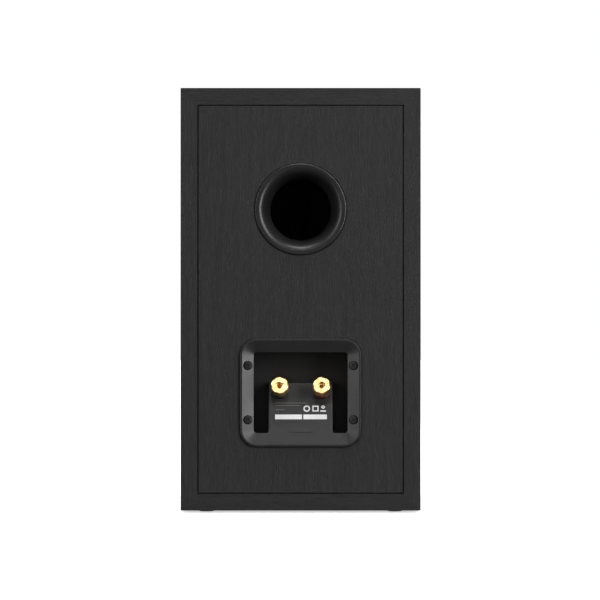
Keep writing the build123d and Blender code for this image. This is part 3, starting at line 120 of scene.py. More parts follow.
# The air is white behind the cabinet and dim to everything that it lights.
world = bpy.data.worlds.new("studio_air")
bpy.context.scene.world = world
world.use_nodes = True
air = world.node_tree.nodes["Background"]
seen = world.node_tree.nodes.new("ShaderNodeLightPath")
strength = world.node_tree.nodes.new("ShaderNodeMapRange")
strength.inputs["To Min"].default_value = 0.12
strength.inputs["To Max"].default_value = 1.02
air.inputs["Color"].default_value = (1, 1, 1, 1)
world.node_tree.links.new(seen.outputs["Is Camera Ray"], strength.inputs["Value"])
world.node_tree.links.new(strength.outputs["Result"], air.inputs["Strength"])

bpy.ops.mesh.primitive_plane_add(size=16, location=(0, 0, 0))
floor = bpy.context.object
floor.name = "studio_floor"
floor_glass = bpy.data.materials.new("pale_lit_floor")
floor_glass.use_nodes = True
for setting, value in {
    "Base Color": (0.92, 0.92, 0.92, 1), "Roughness": 0.9, "Specular IOR Level": 0.1,
    "Emission Color": (1, 1, 1, 1), "Emission Strength": 0.6,
}.items():
    floor_glass.node_tree.nodes["Principled BSDF"].inputs[setting].default_value = value
floor.data.materials.append(floor_glass)
floor.visible_diffuse = False
floor.visible_glossy = False
bpy.ops.object.select_all(action="DESELECT")


# ---------------------------------------------------------------- wrapped cabinet
# Four fibreboard walls, folded up from one board that is wrapped in a printed and embossed black
# ash foil, and the rear panel let in between them. Their grain runs along each board.
def node(material, kind, options=(), **inputs):
    """Adds a shader node. Each input is a value, or another node's output to link to it."""
    made = material.node_tree.nodes.new("ShaderNode" + kind)
    for option, value in dict(options).items():
        setattr(made, option, value)
    for name, value in inputs.items():
        socket = made.inputs[name.replace("_", " ")]
        if isinstance(value, bpy.types.NodeSocket):
            material.node_tree.links.new(value, socket)
        else:
            socket.default_value = value
    return made


def new_finish(name, **shader_settings):
    """A material whose shader has these plain settings, and the point on the piece that is being shaded."""
    material = bpy.data.materials.new(name)
    material.use_nodes = True
    shader = material.node_tree.nodes["Principled BSDF"]
    for setting, value in shader_settings.items():
        shader.inputs[setting.replace("_", " ")].default_value = value
    return material, node(material, "TexCoord").outputs["Object"]


def stretched(material, point, across, centre=(0, 0, 0), turn=(0, 0, 0)):
    """The point measured in steps of these sizes along X, Y and Z, about a centre and turned to its axes."""
    centred = node(
        material, "Mapping", {"vector_type": "TEXTURE"}, Vector=point, Location=centre, Rotation=turn,
    )
    steps = [1 / size for size in across]
    return node(material, "Mapping", Vector=centred.outputs["Vector"], Scale=steps).outputs["Vector"]


def noise(material, point, detail=3.0, rough=0.5, scale=1.0):
    made = node(material, "TexNoise", Vector=point, Scale=scale, Detail=detail, Roughness=rough)
    return made.outputs["Fac"]


def ramp(material, value, *stops):
    """Turns a value into the greys or colours between the stops, which are (value, grey or colour)."""
    made = node(material, "ValToRGB", Fac=value)
    for index, (place, tone) in enumerate(stops):
        element = made.color_ramp.elements[index] if index < 2 else made.color_ramp.elements.new(place)
        element.position = place
        element.color = (*tone, 1) if isinstance(tone, tuple) else (tone, tone, tone, 1)
    return made.outputs["Color"]


def mixed(material, share, first, second, blend_type="MIX"):
    made = node(material, "MixRGB", {"blend_type": blend_type}, Fac=share, Color1=first, Color2=second)
    return made.outputs["Color"]


def dress(material, colour, gloss, height, depth):
    """Links the colour, the roughness and the relief, whose height is 0 to 1 of the depth in metres."""
    links = material.node_tree.links
    shader = material.node_tree.nodes["Principled BSDF"]
    links.new(colour, shader.inputs["Base Color"])
    links.new(gloss, shader.inputs["Roughness"])
    relief = node(material, "Bump", Height=height, Distance=depth, Strength=1.0)
    links.new(relief.outputs["Normal"], shader.inputs["Normal"])
    return material


def finish_nodes(material, *names):
    for name in names:
        for slot in frame["nodes"][name].material_slots:
            slot.material = material


def ash_foil(name, along):
    """Black ash: slow bands and short pores, both long in the direction of the grain."""
    foil, point = new_finish(name, Specular_IOR_Level=0.3)
    wander = noise(foil, stretched(foil, point, (0.05, 0.05, 0.05)), detail=1)
    bent = node(foil, "VectorMath", {"operation": "MULTIPLY_ADD"})
    foil.node_tree.links.new(wander, bent.inputs[0])
    bent.inputs[1].default_value = (0.006, 0.006, 0.006)
    foil.node_tree.links.new(point, bent.inputs[2])
    bent = bent.outputs["Vector"]

    def grain(across, length):
        return stretched(foil, bent, [length if axis == along else across for axis in "XYZ"])

    bands = noise(foil, grain(0.006, 0.16), detail=2)
    streaks = noise(foil, grain(0.0012, 0.022), detail=4, rough=0.65)
    pores = noise(foil, grain(0.00055, 0.009), detail=2)
    body = ramp(foil, bands, (0.3, 0.0125), (0.7, 0.0155))
    streaked = mixed(foil, 0.75, body, ramp(foil, streaks, (0.35, 0.62), (0.66, 1.4)), "MULTIPLY")
    cut = ramp(foil, pores, (0.34, 0.35), (0.44, 1.0))
    colour = mixed(foil, 0.7, streaked, cut, "MULTIPLY")
    gloss = ramp(foil, streaks, (0.3, 0.62), (0.7, 0.48))
    return dress(foil, colour, gloss, mixed(foil, 0.5, cut, streaks), 0.00022)


upright_foil = ash_foil("upright_ash_foil", "Z")
level_foil = ash_foil("level_ash_foil", "X")
finish_nodes(upright_foil, "left_side_panel", "right_side_panel", "rear_panel")
finish_nodes(level_foil, "top_panel", "bottom_panel")


# ---------------------------------------------------------------- brace, baffle and its sockets
# The brace is raw fibreboard, glued into the walls. The baffle is fibreboard too, sprayed satin
# black, and the grille's four pegs push into moulded sockets glued into its corners.
def sprayed_coat(name, tone, rough, peel, depth, shine=0.4, uneven=0.18):
    """A sprayed or moulded coat: faint clouds of tone, and a fine even skin."""
    coat, point = new_finish(name, Specular_IOR_Level=shine)
    clouds = noise(coat, stretched(coat, point, (0.03,) * 3), detail=3)
    skin = noise(coat, stretched(coat, point, (peel,) * 3), detail=3, rough=0.6)
    shades = [tuple(min(1, channel * share) for channel in tone) for share in (1 - uneven, 1 + uneven)]
    colour = mixed(
        coat, 0.35, ramp(coat, clouds, (0.3, shades[0]), (0.7, shades[1])),
        ramp(coat, skin, (0.3, shades[0]), (0.7, shades[1])),
    )
    gloss = ramp(coat, clouds, (0.3, rough - 0.05), (0.7, rough + 0.06))
    return dress(coat, colour, gloss, skin, depth)


def fibreboard():
    board, point = new_finish("raw_fibreboard", Specular_IOR_Level=0.2)
    flecks = noise(board, stretched(board, point, (0.0012, 0.0012, 0.0005)), detail=5, rough=0.7)
    patches = noise(board, stretched(board, point, (0.04, 0.04, 0.01)), detail=2)
    fibres = ramp(board, flecks, (0.3, (0.26, 0.165, 0.09)), (0.7, (0.56, 0.41, 0.25)))
    colour = mixed(board, 0.3, fibres, ramp(board, patches, (0.3, 0.7), (0.7, 1.2)), "MULTIPLY")
    return dress(board, colour, ramp(board, flecks, (0.3, 0.95), (0.7, 0.8)), flecks, 0.0002)


finish_nodes(fibreboard(), "shelf_brace")
baffle_paint = sprayed_coat(
    "satin_baffle_paint", (0.017, 0.017, 0.0185), 0.56, 0.0011, 0.00005, shine=0.22, uneven=0.06,
)
finish_nodes(baffle_paint, "front_baffle")
socket_nylon = sprayed_coat("moulded_socket_nylon", (0.015, 0.015, 0.016), 0.5, 0.0004, 0.00003)
finish_nodes(socket_nylon, "grille_sockets")

# ---------------------------------------------------------------- feet
# Four small rubber pads, moulded with a rounded edge and stuck under the bottom panel. The rubber is
# rough enough to take no sharp highlight.
foot_rubber = sprayed_coat("foot_rubber", (0.013, 0.013, 0.014), 0.78, 0.0003, 0.00004)
finish_nodes(foot_rubber, "feet")


# ---------------------------------------------------------------- woofer frame and magnet
# A cast alloy basket, painted black, with a ferrite ring clamped between zinc plated steel plates.
# Its back plate carries the pole. Six black screws hold the basket through a foam gasket.
def turned_steel(name, bright, dark, rough, centre, turn=(math.radians(90), 0, 0), groove=0.0004):
    """Bright metal with fine tool rings round an axis, which the turn brings onto Z."""
    metal, point = new_finish(name, Metallic=1.0)
    round_axis = stretched(metal, point, (groove,) * 3, centre, turn)
    rings = node(
        metal, "TexWave", {"wave_type": "RINGS", "rings_direction": "Z"},
        Vector=round_axis, Scale=1.0, Distortion=0.6, Detail=2.0,
    ).outputs["Fac"]
    tarnish = noise(metal, stretched(metal, point, (0.006,) * 3), detail=4)
    colour = ramp(metal, tarnish, (0.35, dark), (0.65, bright))
    gloss = mixed(
        metal, 0.4, ramp(metal, tarnish, (0.3, rough + 0.1), (0.7, rough)),
        ramp(metal, rings, (0, rough + 0.08), (1, rough)),
    )
    return dress(metal, colour, gloss, rings, 0.000006)


def ferrite_ring():
    ferrite, point = new_finish("sintered_ferrite", Specular_IOR_Level=0.35)
    grains = noise(ferrite, stretched(ferrite, point, (0.0006,) * 3), detail=5, rough=0.7)
    clouds = noise(ferrite, stretched(ferrite, point, (0.015,) * 3), detail=3)
    colour = mixed(
        ferrite, 0.4, ramp(ferrite, grains, (0.3, (0.03, 0.031, 0.034)), (0.7, (0.075, 0.077, 0.083))),
        ramp(ferrite, clouds, (0.3, 0.04), (0.7, 0.075)),
    )
    return dress(ferrite, colour, ramp(ferrite, grains, (0.3, 0.7), (0.7, 0.5)), grains, 0.00008)


def middle(name):
    low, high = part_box(name)
    return (low + high) / 2


woofer_centre = Vector((0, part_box("woofer_basket")[0].y, middle("woofer_basket").z))
tweeter_centre = Vector((0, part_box("tweeter_faceplate")[0].y, middle("tweeter_faceplate").z))
basket_paint = sprayed_coat("powder_coated_casting", (0.016, 0.016, 0.017), 0.5, 0.0006, 0.00009)
finish_nodes(basket_paint, "woofer_basket")
plated_steel = turned_steel("zinc_plated_steel", (0.66, 0.67, 0.69), (0.5, 0.51, 0.54), 0.32, woofer_centre)
finish_nodes(plated_steel, "woofer_top_plate", "woofer_yoke")
sintered = ferrite_ring()
finish_nodes(sintered, "woofer_magnet", "tweeter_magnet")
black_zinc = sprayed_coat("black_zinc_screws", (0.02, 0.02, 0.021), 0.38, 0.0005, 0.00002)
finish_nodes(black_zinc, "woofer_screws", "tweeter_screws", "terminal_cup_screws", "crossover_screws")
cell_foam = sprayed_coat("closed_cell_foam", (0.032, 0.032, 0.034), 0.92, 0.0007, 0.00025)
finish_nodes(cell_foam, "driver_gaskets", "terminal_cup_gasket")


# ---------------------------------------------------------------- cone, dust cap and voice coil
# The cone and its cap are pressed from paper pulp with long fibres, coated dark. The former is a
# rolled film, glued into the cone's neck, with two layers of enamelled copper wire wound on it.
def pulp(name, dark, light, centre):
    """Coated paper pulp: long curled fibres in a darker felt."""
    paper, point = new_finish(name, Specular_IOR_Level=0.3)
    around = stretched(paper, point, (0.0016, 0.01, 0.0016), centre)
    felt = noise(paper, around, detail=6, rough=0.65)
    curls = node(paper, "TexNoise", Vector=around, Scale=0.35, Detail=3.0, Distortion=3.5).outputs["Fac"]
    body = ramp(paper, felt, (0.3, dark), (0.72, tuple(0.4 * a + 0.6 * b for a, b in zip(dark, light))))
    fibres = ramp(paper, curls, (0.46, 0.0), (0.5, 0.55), (0.54, 0.0))
    colour = mixed(paper, fibres, body, (*light, 1))
    return dress(paper, colour, ramp(paper, felt, (0.3, 0.72), (0.7, 0.55)), felt, 0.00012)


def enamelled_copper(name, pitch, centre, direction):
    """Copper wire in its enamel: a ridge at each turn, along the winding's axis, with painted shade in the
    groove between turns.
    """
    wire, point = new_finish(name, Metallic=0.85, Coat_Weight=0.5, Coat_Roughness=0.12)
    turns = node(
        wire, "TexWave", {"wave_type": "BANDS", "bands_direction": direction, "wave_profile": "SIN"},
        Vector=stretched(wire, point, (pitch * 3.14,) * 3, centre), Scale=1.0,
    ).outputs["Fac"]
    tone = noise(wire, stretched(wire, point, (0.003,) * 3), detail=3)
    copper = ramp(wire, tone, (0.3, (0.5, 0.17, 0.07)), (0.7, (0.78, 0.34, 0.16)))
    # Painted shade: the copper is darkened in the groove between turns, where the ridges' bump is low.
    colour = mixed(wire, 0.6, copper, ramp(wire, turns, (0, 0.35), (0.5, 1.0)), "MULTIPLY")
    return dress(wire, colour, ramp(wire, turns, (0, 0.5), (1, 0.28)), turns, 0.0001)


cone_pulp = pulp("coated_cone_pulp", (0.014, 0.013, 0.013), (0.06, 0.055, 0.05), woofer_centre)
finish_nodes(cone_pulp, "woofer_cone")
cap_pulp = pulp("coated_cap_pulp", (0.011, 0.0105, 0.0105), (0.045, 0.041, 0.038), woofer_centre)
finish_nodes(cap_pulp, "woofer_dust_cap")
amber_film = sprayed_coat("amber_former_film", (0.42, 0.2, 0.055), 0.3, 0.0006, 0.00003)
finish_nodes(amber_film, "woofer_coil_former")
finish_nodes(enamelled_copper("woofer_coil_wire", 0.0004, woofer_centre, "Y"), "woofer_coil_winding")


# ---------------------------------------------------------------- surround and spider
# The surround is a moulded half roll of rubber that seals the cone to the basket. The spider is a
# pressed and resined cotton disc that centres the coil. Both flex with the cone.
def turned_sheet(name, centre, outline, thickness, segments=144):
    """A thin sheet turned about the driver's axis. The outline is (radius, distance in front) points,
    and the sheet's wall goes back from it."""
    bpy.ops.object.select_all(action="DESELECT")
    radius, front = outline[0]
    bpy.ops.mesh.primitive_circle_add(
        vertices=segments, radius=radius, location=centre - Vector((0, front, 0)),
        rotation=(math.radians(90), 0, 0),
    )
    piece = bpy.context.object
    piece.name = name
    bpy.ops.object.transform_apply(location=True, rotation=True, scale=True)
    bpy.ops.object.mode_set(mode="EDIT")
    bpy.ops.mesh.select_all(action="SELECT")
    for next_radius, next_front in outline[1:]:
        bpy.ops.mesh.extrude_edges_move(TRANSFORM_OT_translate={"value": (0, front - next_front, 0)})
        grown = next_radius / radius
        bpy.ops.transform.resize(value=(grown, 1, grown), center_override=centre)
        radius, front = next_radius, next_front
    bpy.ops.mesh.select_all(action="SELECT")
    bpy.ops.mesh.normals_make_consistent(inside=False)
    bpy.ops.object.mode_set(mode="OBJECT")
    middle_face = piece.data.polygons[len(piece.data.polygons) // 2]
    if middle_face.normal.y > 0:
        piece.data.flip_normals()
    wall = piece.modifiers.new("wall", "SOLIDIFY")
    wall.thickness = thickness
    wall.offset = -1
    bpy.ops.object.modifier_apply(modifier="wall")
    bpy.ops.object.shade_smooth_by_angle(angle=math.radians(40))
    return piece


def flex_between(piece, moving_body, centre, inner_radius, outer_radius):
    """Lets the piece's inner edge move with the body, and its outer edge stay on the cabinet."""
    inner_place = (inner_radius, centre.y, centre.z)
    outer_place = (outer_radius, centre.y, centre.z)
    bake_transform(piece, moving_body, "cabinet", start=inner_place, end=outer_place)
    shares = piece.data.attributes["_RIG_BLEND"].data
    for vertex, share in zip(piece.data.vertices, shares):
        radius = math.hypot(vertex.co.x - centre.x, vertex.co.z - centre.z)
        across = min(1, max(0, (radius - inner_radius) / (outer_radius - inner_radius)))
        share.value = across * across * (3 - 2 * across)


def half_roll(middle_radius, roll_radius, height, steps):
    """The arc of a half roll, from its inner foot to its outer foot."""
    angles = [math.pi * (1 - step / steps) for step in range(steps + 1)]
    return [
        (middle_radius + roll_radius * math.cos(angle), height + roll_radius * math.sin(angle))
        for angle in angles
    ]


# The rubber is a spun half roll: a landing on the cone's rim, the roll, and a landing on the basket.
surround_foot = woofer_centre.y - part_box("woofer_surround")[1].y
surround_crest = woofer_centre.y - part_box("woofer_surround")[0].y
surround_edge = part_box("woofer_surround")[1].x
cone_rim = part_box("woofer_cone")[1].x
rubber_wall = 0.0008
roll_inside = 0.0046
roll_middle = 0.0737
landing = surround_foot + rubber_wall
roll = half_roll(roll_middle, roll_inside + rubber_wall, surround_crest - roll_inside - rubber_wall, 20)
outline = [(cone_rim - 0.0042, landing), *roll[1:-1], (surround_edge, landing)]
woofer_rubber = turned_sheet("woofer_rubber_surround", woofer_centre, outline, rubber_wall)
butyl = sprayed_coat("butyl_rubber", (0.0125, 0.0125, 0.013), 0.46, 0.0009, 0.00002)
woofer_rubber.data.materials.append(butyl)
flex_between(woofer_rubber, "woofer_diaphragm", woofer_centre, cone_rim, roll_middle + roll_inside)
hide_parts("woofer_surround")


def woven(name, dark, light, thread, centre, rough, shine):
    """A plain weave of threads along X and Z, with a resin on it that fills the weave. The colour is darker
    between the threads, where the weave's bump is low: painted shade.
    """
    cloth, point = new_finish(name, Sheen_Weight=shine, Sheen_Roughness=0.5, Specular_IOR_Level=0.3)
    steps = stretched(cloth, point, (thread * 3.14,) * 3, centre)
    threads = [
        node(
            cloth, "TexWave", {"wave_type": "BANDS", "bands_direction": axis}, Vector=steps, Scale=1.0,
        ).outputs["Fac"]
        for axis in "XZ"
    ]
    weave = node(cloth, "Math", {"operation": "MULTIPLY"})
    for index, thread_wave in enumerate(threads):
        cloth.node_tree.links.new(thread_wave, weave.inputs[index])
    stain = noise(cloth, stretched(cloth, point, (0.008,) * 3), detail=3)
    # Painted shade: the weave ramp darkens the cloth between threads, in the hollows of the same bump.
    colour = mixed(
        cloth, 0.4, ramp(cloth, weave.outputs[0], (0.05, dark), (0.7, light)),
        ramp(cloth, stain, (0.3, dark), (0.7, light)),
    )
    gloss = ramp(cloth, stain, (0.3, rough), (0.7, rough + 0.12))
    return dress(cloth, colour, gloss, weave.outputs[0], 0.00008)


# The spider's waves are pressed between a flat seat on the former and one on the basket's ledge.
spider_low, spider_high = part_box("woofer_spider")
former_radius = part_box("woofer_coil_former")[1].x
spider_edge = spider_high.x
wave_start, wave_end, wave_height, cloth_wall = 0.0184, 0.044, 0.0012, 0.0006
spider_seat = woofer_centre.y - (spider_low.y + spider_high.y) / 2
wave_count, wave_steps = 4, 40
waves = [
    (
        wave_start + (wave_end - wave_start) * step / wave_steps,
        spider_seat + wave_height * math.sin(2 * math.pi * wave_count * step / wave_steps),
    )
    for step in range(wave_steps + 1)
]
spider_outline = [(former_radius + 0.0001, spider_seat), *waves, (spider_edge, spider_seat)]
spider = turned_sheet("pressed_cotton_spider", woofer_centre, spider_outline, cloth_wall)
resined_cotton = woven(
    "resined_cotton", (0.42, 0.25, 0.09), (0.72, 0.5, 0.24), 0.0006, woofer_centre, 0.65, 0.2,
)
spider.data.materials.append(resined_cotton)
flex_between(spider, "woofer_diaphragm", woofer_centre, wave_start, wave_end)
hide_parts("woofer_spider")

# ---------------------------------------------------------------- tweeter
# A moulded faceplate with a shallow horn carries a doped silk dome. The dome's roll is part of the
# same silk. Behind it are a small ferrite motor and a damped rear chamber.
tweeter_plate = sprayed_coat("satin_faceplate", (0.015, 0.015, 0.0155), 0.4, 0.0005, 0.00003)
finish_nodes(tweeter_plate, "tweeter_faceplate", "tweeter_rear_chamber")
doped_silk = woven(
    "doped_silk", (0.008, 0.008, 0.0085), (0.022, 0.022, 0.024), 0.0003, tweeter_centre, 0.42, 0.3,
)
finish_nodes(doped_silk, "tweeter_dome")
finish_nodes(enamelled_copper("tweeter_coil_wire", 0.00025, tweeter_centre, "Y"), "tweeter_voice_coil")
tweeter_steel = turned_steel(
    "tweeter_plated_steel", (0.66, 0.67, 0.69), (0.5, 0.51, 0.54), 0.32, tweeter_centre,
)
finish_nodes(tweeter_steel, "tweeter_top_plate", "tweeter_yoke")
phenolic = sprayed_coat("phenolic_strip", (0.03, 0.018, 0.012), 0.5, 0.0006, 0.00003)
finish_nodes(phenolic, "woofer_tabs", "tweeter_tabs")

silk_wall = 0.0004
dome_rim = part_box("tweeter_dome")[1].x
silk_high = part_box("tweeter_surround")[1]
silk_roll_middle, silk_roll_radius = 0.0155, 0.0009
silk_seat = tweeter_centre.y - silk_high.y + silk_wall
silk_roll = half_roll(silk_roll_middle, silk_roll_radius, silk_seat, 12)
silk_outline = [(dome_rim + 0.0001, silk_seat), *silk_roll, (silk_high.x, silk_seat)]
silk_surround = turned_sheet("silk_surround", tweeter_centre, silk_outline, silk_wall / 2, segments=96)
silk_surround.data.materials.append(doped_silk)
silk_roll_end = silk_roll_middle + silk_roll_radius
flex_between(silk_surround, "tweeter_diaphragm", tweeter_centre, dome_rim, silk_roll_end)
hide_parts("tweeter_surround")

# ---------------------------------------------------------------- reflex port
# Two mouldings in satin black plastic: the flared mouth, dropped into the rear panel and glued, and
# the tube that pushes over its neck.
port_plastic = sprayed_coat("satin_port_moulding", (0.0115, 0.0115, 0.012), 0.38, 0.0006, 0.000015)
finish_nodes(port_plastic, "port_flare", "port_tube")

# ---------------------------------------------------------------- terminal cup and its label
# One moulding with a spark-eroded texture, screwed over a foam gasket. Its sloping desk carries the
# posts and a black film label, screen printed in white with plain marks.
cup_plastic = sprayed_coat("spark_eroded_plastic", (0.015, 0.015, 0.0155), 0.41, 0.00045, 0.00003)
finish_nodes(cup_plastic, "terminal_cup")
label_film = sprayed_coat("black_label_film", (0.01, 0.01, 0.0105), 0.36, 0.0009, 0.00001)
finish_nodes(label_film, "rating_label")


def ink(name, tone):
    printed, point = new_finish(name, Specular_IOR_Level=0.3)
    cover = noise(printed, stretched(printed, point, (0.0004,) * 3), detail=4)
    colour = ramp(printed, cover, (0.3, tone * 0.9), (0.65, tone))
    return dress(printed, colour, ramp(printed, cover, (0.3, 0.6), (0.7, 0.45)), cover, 0.000005)


knob_axis = {
    joint["child"]: Vector(joint["axis"]) for joint in frame["joints"] if joint["name"].endswith("knob_turn")
}
desk_normal = knob_axis["positive_knob"].normalized()
desk_right = Vector((-1, 0, 0))
desk_up = desk_normal.cross(desk_right)
label_middle = middle("rating_label")
label_face = label_middle + desk_normal * 0.0001
ink_height = 0.00005
desk_place = Matrix((desk_right, desk_up, desk_normal)).transposed().to_4x4()
desk_place.translation = label_face


def printed_mark(name, across, up, width, height, corners=4, hollow=0.0, turn=0.0):
    """One mark of ink on the label: a bar, a ring or a polygon, with its middle at this place."""
    bpy.ops.object.select_all(action="DESELECT")
    bpy.ops.mesh.primitive_circle_add(vertices=corners, radius=0.5, fill_type="NGON", rotation=(0, 0, turn))
    mark = bpy.context.object
    mark.name = name
    bpy.ops.object.transform_apply(rotation=True)
    bpy.ops.object.mode_set(mode="EDIT")
    bpy.ops.mesh.select_all(action="SELECT")
    side = 2 ** 0.5 if corners == 4 and turn else 1
    bpy.ops.transform.resize(value=(width * side, height * side, 1), center_override=(0, 0, 0))
    if hollow:
        bpy.ops.mesh.inset(thickness=hollow, depth=0)
        bpy.ops.mesh.delete(type="FACE")
        bpy.ops.mesh.select_all(action="SELECT")
    bpy.ops.mesh.extrude_region_move(TRANSFORM_OT_translate={"value": (0, 0, ink_height)})
    bpy.ops.mesh.select_all(action="SELECT")
    bpy.ops.mesh.normals_make_consistent(inside=False)
    bpy.ops.transform.translate(value=(across, up, 0))
    bpy.ops.object.mode_set(mode="OBJECT")
    mark.data.transform(desk_place)
    return mark


def joined(name, pieces, material):
    bpy.ops.object.select_all(action="DESELECT")
    for piece in pieces:
        piece.select_set(True)
    bpy.context.view_layer.objects.active = pieces[0]
    bpy.ops.object.join()
    whole = bpy.context.object
    whole.name = name
    whole.data.materials.clear()
    whole.data.materials.append(material)
    return whole


square = math.radians(45)
white_marks = [
    printed_mark("bar", -0.0101, -0.0046, 0.0224, 0.0042, turn=square),
    printed_mark("bar", 0.0121, -0.0046, 0.0196, 0.0042, turn=square),
    printed_mark("ring", 0.0051, 0.0028, 0.0056, 0.0056, corners=32, hollow=0.0011),
    printed_mark("frame", 0.0124, 0.0028, 0.0052, 0.0052, hollow=0.0010, turn=square),
    printed_mark("lozenge", 0.0188, 0.0042, 0.0036, 0.0036, hollow=0.0007),
    printed_mark("bar", 0.0188, 0.0006, 0.0046, 0.0012, turn=square),
]
white_print = joined("label_white_print", white_marks, ink("white_screen_ink", 0.66))
grey_marks = [
    printed_mark("rule", -0.0075, 0.0078, 0.0270, 0.0005, turn=square),
    printed_mark("rule", -0.0108, 0.0056, 0.0204, 0.0005, turn=square),
    printed_mark("rule", -0.0172, 0.0018, 0.0076, 0.0005, turn=square),
]
grey_print = joined("label_grey_print", grey_marks, ink("grey_screen_ink", 0.11))
for print_layer in (white_print, grey_print):
    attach(print_layer, "cabinet")

# ---------------------------------------------------------------- binding posts
# Turned brass, bright gold plated: a stud through the desk, bored for a plug, and a scalloped knob
# that clamps a wire under its coloured ring. The ring of the post at -X is red, the other's black.
for pole in ("positive", "negative"):
    post_turn = (-math.asin(desk_normal.y), 0, 0)
    gold = turned_steel(
        f"{pole}_bright_gold", (1.0, 0.74, 0.36), (0.98, 0.61, 0.22), 0.26,
        middle(f"{pole}_post_knob"), post_turn, groove=0.0003,
    )
    finish_nodes(gold, f"{pole}_post_knob", f"{pole}_post_stud")
red_ring = sprayed_coat("glossy_red_moulding", (0.34, 0.008, 0.008), 0.32, 0.0004, 0.00001)
black_ring = sprayed_coat("glossy_black_moulding", (0.012, 0.012, 0.013), 0.25, 0.0004, 0.00001)
finish_nodes(red_ring, "positive_post_collar")
finish_nodes(black_ring, "negative_post_collar")
finish_nodes(black_ring, "positive_post_base", "negative_post_base")
nut_steel = turned_steel("plated_nuts", (0.68, 0.66, 0.6), (0.5, 0.48, 0.42), 0.3, middle("post_nuts"))
finish_nodes(nut_steel, "post_nuts", "post_solder_tags")

# ---------------------------------------------------------------- crossover
# A paper and phenolic board on four nylon posts. It carries two air-cored chokes, wound in copper on
# moulded spools, three film capacitors, a cemented resistor, and tinned blades for the leads.
board_phenolic = sprayed_coat("phenolic_board", (0.2, 0.11, 0.05), 0.5, 0.0012, 0.00003)
finish_nodes(board_phenolic, "crossover_board")
natural_nylon = sprayed_coat("natural_nylon", (0.6, 0.58, 0.5), 0.45, 0.0008, 0.00003)
finish_nodes(natural_nylon, "crossover_standoffs", "choke_spools")
capacitor_film = sprayed_coat("yellow_capacitor_film", (0.6, 0.42, 0.05), 0.28, 0.0012, 0.00003)
finish_nodes(capacitor_film, "crossover_capacitors")
cast_cement = sprayed_coat("cast_cement", (0.66, 0.64, 0.58), 0.9, 0.0005, 0.0001)
finish_nodes(cast_cement, "crossover_resistor")
tinned = turned_steel(
    "tinned_blades", (0.75, 0.74, 0.7), (0.55, 0.54, 0.5), 0.3, middle("crossover_tabs"),
)
finish_nodes(tinned, "crossover_tabs")


def wound_choke(name, centre, core_radius, outer_radius, bottom, top, wire):
    """The outside of a winding, one ridge for each turn of its last layer, closed on the spool's core."""
    turns = round((top - bottom) / wire)
    pitch = (top - bottom) / turns
    ridge_steps = 4
    bpy.ops.object.select_all(action="DESELECT")
    bpy.ops.mesh.primitive_circle_add(vertices=72, radius=core_radius, location=(centre.x, centre.y, bottom))
    coil = bpy.context.object
    coil.name = name
    bpy.ops.object.transform_apply(location=True)
    outline = [(outer_radius - pitch / 2, bottom)]
    for turn in range(turns):
        for step in range(1, ridge_steps + 1):
            angle = math.pi * step / ridge_steps
            outline.append((
                outer_radius - pitch / 2 + pitch / 2 * math.sin(angle),
                bottom + pitch * turn + pitch / 2 * (1 - math.cos(angle)),
            ))
    outline.append((core_radius, top))
    radius, height = core_radius, bottom
    bpy.ops.object.mode_set(mode="EDIT")
    bpy.ops.mesh.select_all(action="SELECT")
    for next_radius, next_height in outline:
        bpy.ops.mesh.extrude_edges_move(TRANSFORM_OT_translate={"value": (0, 0, next_height - height)})
        grown = next_radius / radius
        bpy.ops.transform.resize(value=(grown, grown, 1), center_override=(centre.x, centre.y, next_height))
        radius, height = next_radius, next_height
    bpy.ops.mesh.extrude_edges_move(TRANSFORM_OT_translate={"value": (0, 0, bottom - height)})
    bpy.ops.mesh.select_all(action="SELECT")
    bpy.ops.mesh.remove_doubles(threshold=0.000001)
    bpy.ops.mesh.normals_make_consistent(inside=False)
    bpy.ops.object.mode_set(mode="OBJECT")
    bpy.ops.object.shade_smooth_by_angle(angle=math.radians(60))
    return coil


winding_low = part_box("choke_windings")[0]
choke_wire = enamelled_copper("choke_wire", 0.001, winding_low, "Z")
windings = frame["nodes"]["choke_windings"].data


def loose_parts(mesh):
    """The corners of each separate solid in a mesh of loose triangles, as lists of points."""
    copy = bmesh.new()
    copy.from_mesh(mesh)
    bmesh.ops.remove_doubles(copy, verts=copy.verts, dist=0.000002)
    waiting, parts = set(copy.verts), []
    while waiting:
        reached, edge = set(), [min(waiting, key=lambda vertex: vertex.index)]
        while edge:
            vertex = edge.pop()
            if vertex not in reached:
                reached.add(vertex)
                edge.extend(link.other_vert(vertex) for link in vertex.link_edges)
        waiting -= reached
        parts.append([vertex.co.copy() for vertex in reached])
    copy.free()
    return parts


coils = []
for number, corners in enumerate(loose_parts(windings)):
    low = Vector(map(min, *corners))
    high = Vector(map(max, *corners))
    centre = (low + high) / 2
    radii = [math.hypot(corner.x - centre.x, corner.y - centre.y) for corner in corners]
    coils.append(wound_choke(f"coil_{number}", centre, min(radii), max(radii), low.z, high.z, 0.0011))
wound = joined("wound_choke_coils", coils, choke_wire)
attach(wound, "cabinet")
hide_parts("choke_windings")

# ---------------------------------------------------------------- leads
# Stranded copper in soft coloured insulation, soldered or pushed on at both ends and dressed along
# the walls.
finish_nodes(sprayed_coat("red_insulation", (0.4, 0.012, 0.01), 0.42, 0.0015, 0.00003), "positive_leads")
finish_nodes(sprayed_coat("black_insulation", (0.013, 0.013, 0.014), 0.42, 0.0015, 0.00003), "negative_leads")


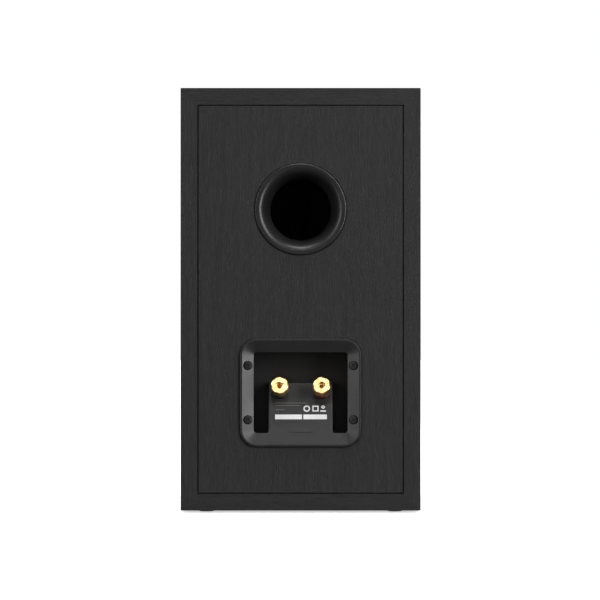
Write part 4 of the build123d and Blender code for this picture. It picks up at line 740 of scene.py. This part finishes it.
# ---------------------------------------------------------------- wadding
# Loose polyester fibre in soft slabs, cut with scissors and pushed in against the walls and the top.
# Each slab is a cloth skin that is blown up a little, then roughened as its fibres are.
def fibre_fill():
    fibre, point = new_finish(
        "polyester_fibre", Sheen_Weight=0.6, Sheen_Roughness=0.6, Specular_IOR_Level=0.1,
    )
    tangle = node(
        fibre, "TexNoise", Vector=stretched(fibre, point, (0.002,) * 3), Scale=1.0, Detail=6.0, Distortion=2.5
    ).outputs["Fac"]
    tufts = noise(fibre, stretched(fibre, point, (0.02,) * 3), detail=2)
    colour = mixed(
        fibre, 0.5, ramp(fibre, tangle, (0.35, 0.45), (0.65, 0.78)),
        ramp(fibre, tufts, (0.3, 0.55), (0.7, 0.75)),
    )
    return dress(fibre, colour, ramp(fibre, tangle, (0.3, 1.0), (0.7, 0.85)), tangle, 0.0008)


def soft_slab(name, corners, swell):
    """A stuffed slab inside the box round these corners, which swells by no more than the given distance."""
    low = Vector(map(min, *corners))
    high = Vector(map(max, *corners))
    size = high - low
    bpy.ops.object.select_all(action="DESELECT")
    bpy.ops.mesh.primitive_cube_add(size=1, location=(low + high) / 2)
    slab = bpy.context.object
    slab.name = name
    slab.scale = [length - 2 * swell for length in size]
    bpy.ops.object.transform_apply(location=True, scale=True)
    remesh = slab.modifiers.new("skin", "REMESH")
    remesh.mode = "VOXEL"
    remesh.voxel_size = 0.004
    bpy.ops.object.modifier_apply(modifier="skin")
    rest = [vertex.co.copy() for vertex in slab.data.vertices]
    cloth = slab.modifiers.new("fill", "CLOTH")
    cloth.settings.use_pressure = True
    cloth.settings.uniform_pressure_force = 4
    cloth.settings.effector_weights.gravity = 0
    last_frame = 14
    for step in range(1, last_frame + 1):
        bpy.context.scene.frame_set(step)
    bpy.ops.object.modifier_apply(modifier="fill")
    bpy.context.scene.frame_set(1)
    fibres = random.Random(7)
    for vertex, start in zip(slab.data.vertices, rest):
        moved = vertex.co - start
        reach = swell * 0.8
        if moved.length > reach:
            moved *= reach / moved.length
        vertex.co = start + moved + Vector(fibres.uniform(-1, 1) for _ in range(3)) * swell * 0.12
    smooth = slab.modifiers.new("finer", "SUBSURF")
    smooth.levels = smooth.render_levels = 1
    bpy.ops.object.modifier_apply(modifier="finer")
    bpy.ops.object.shade_smooth()
    return slab


fibre = fibre_fill()
for node_name, fill in (("side_wadding", 0.3), ("top_wadding", 0.3)):
    slabs = [
        soft_slab(f"{node_name}_slab_{number}", corners, 0.0025)
        for number, corners in enumerate(loose_parts(frame["nodes"][node_name].data))
    ]
    pad = joined(f"{node_name}_fibre", slabs, fibre)
    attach(pad, "cabinet")
    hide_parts(node_name)
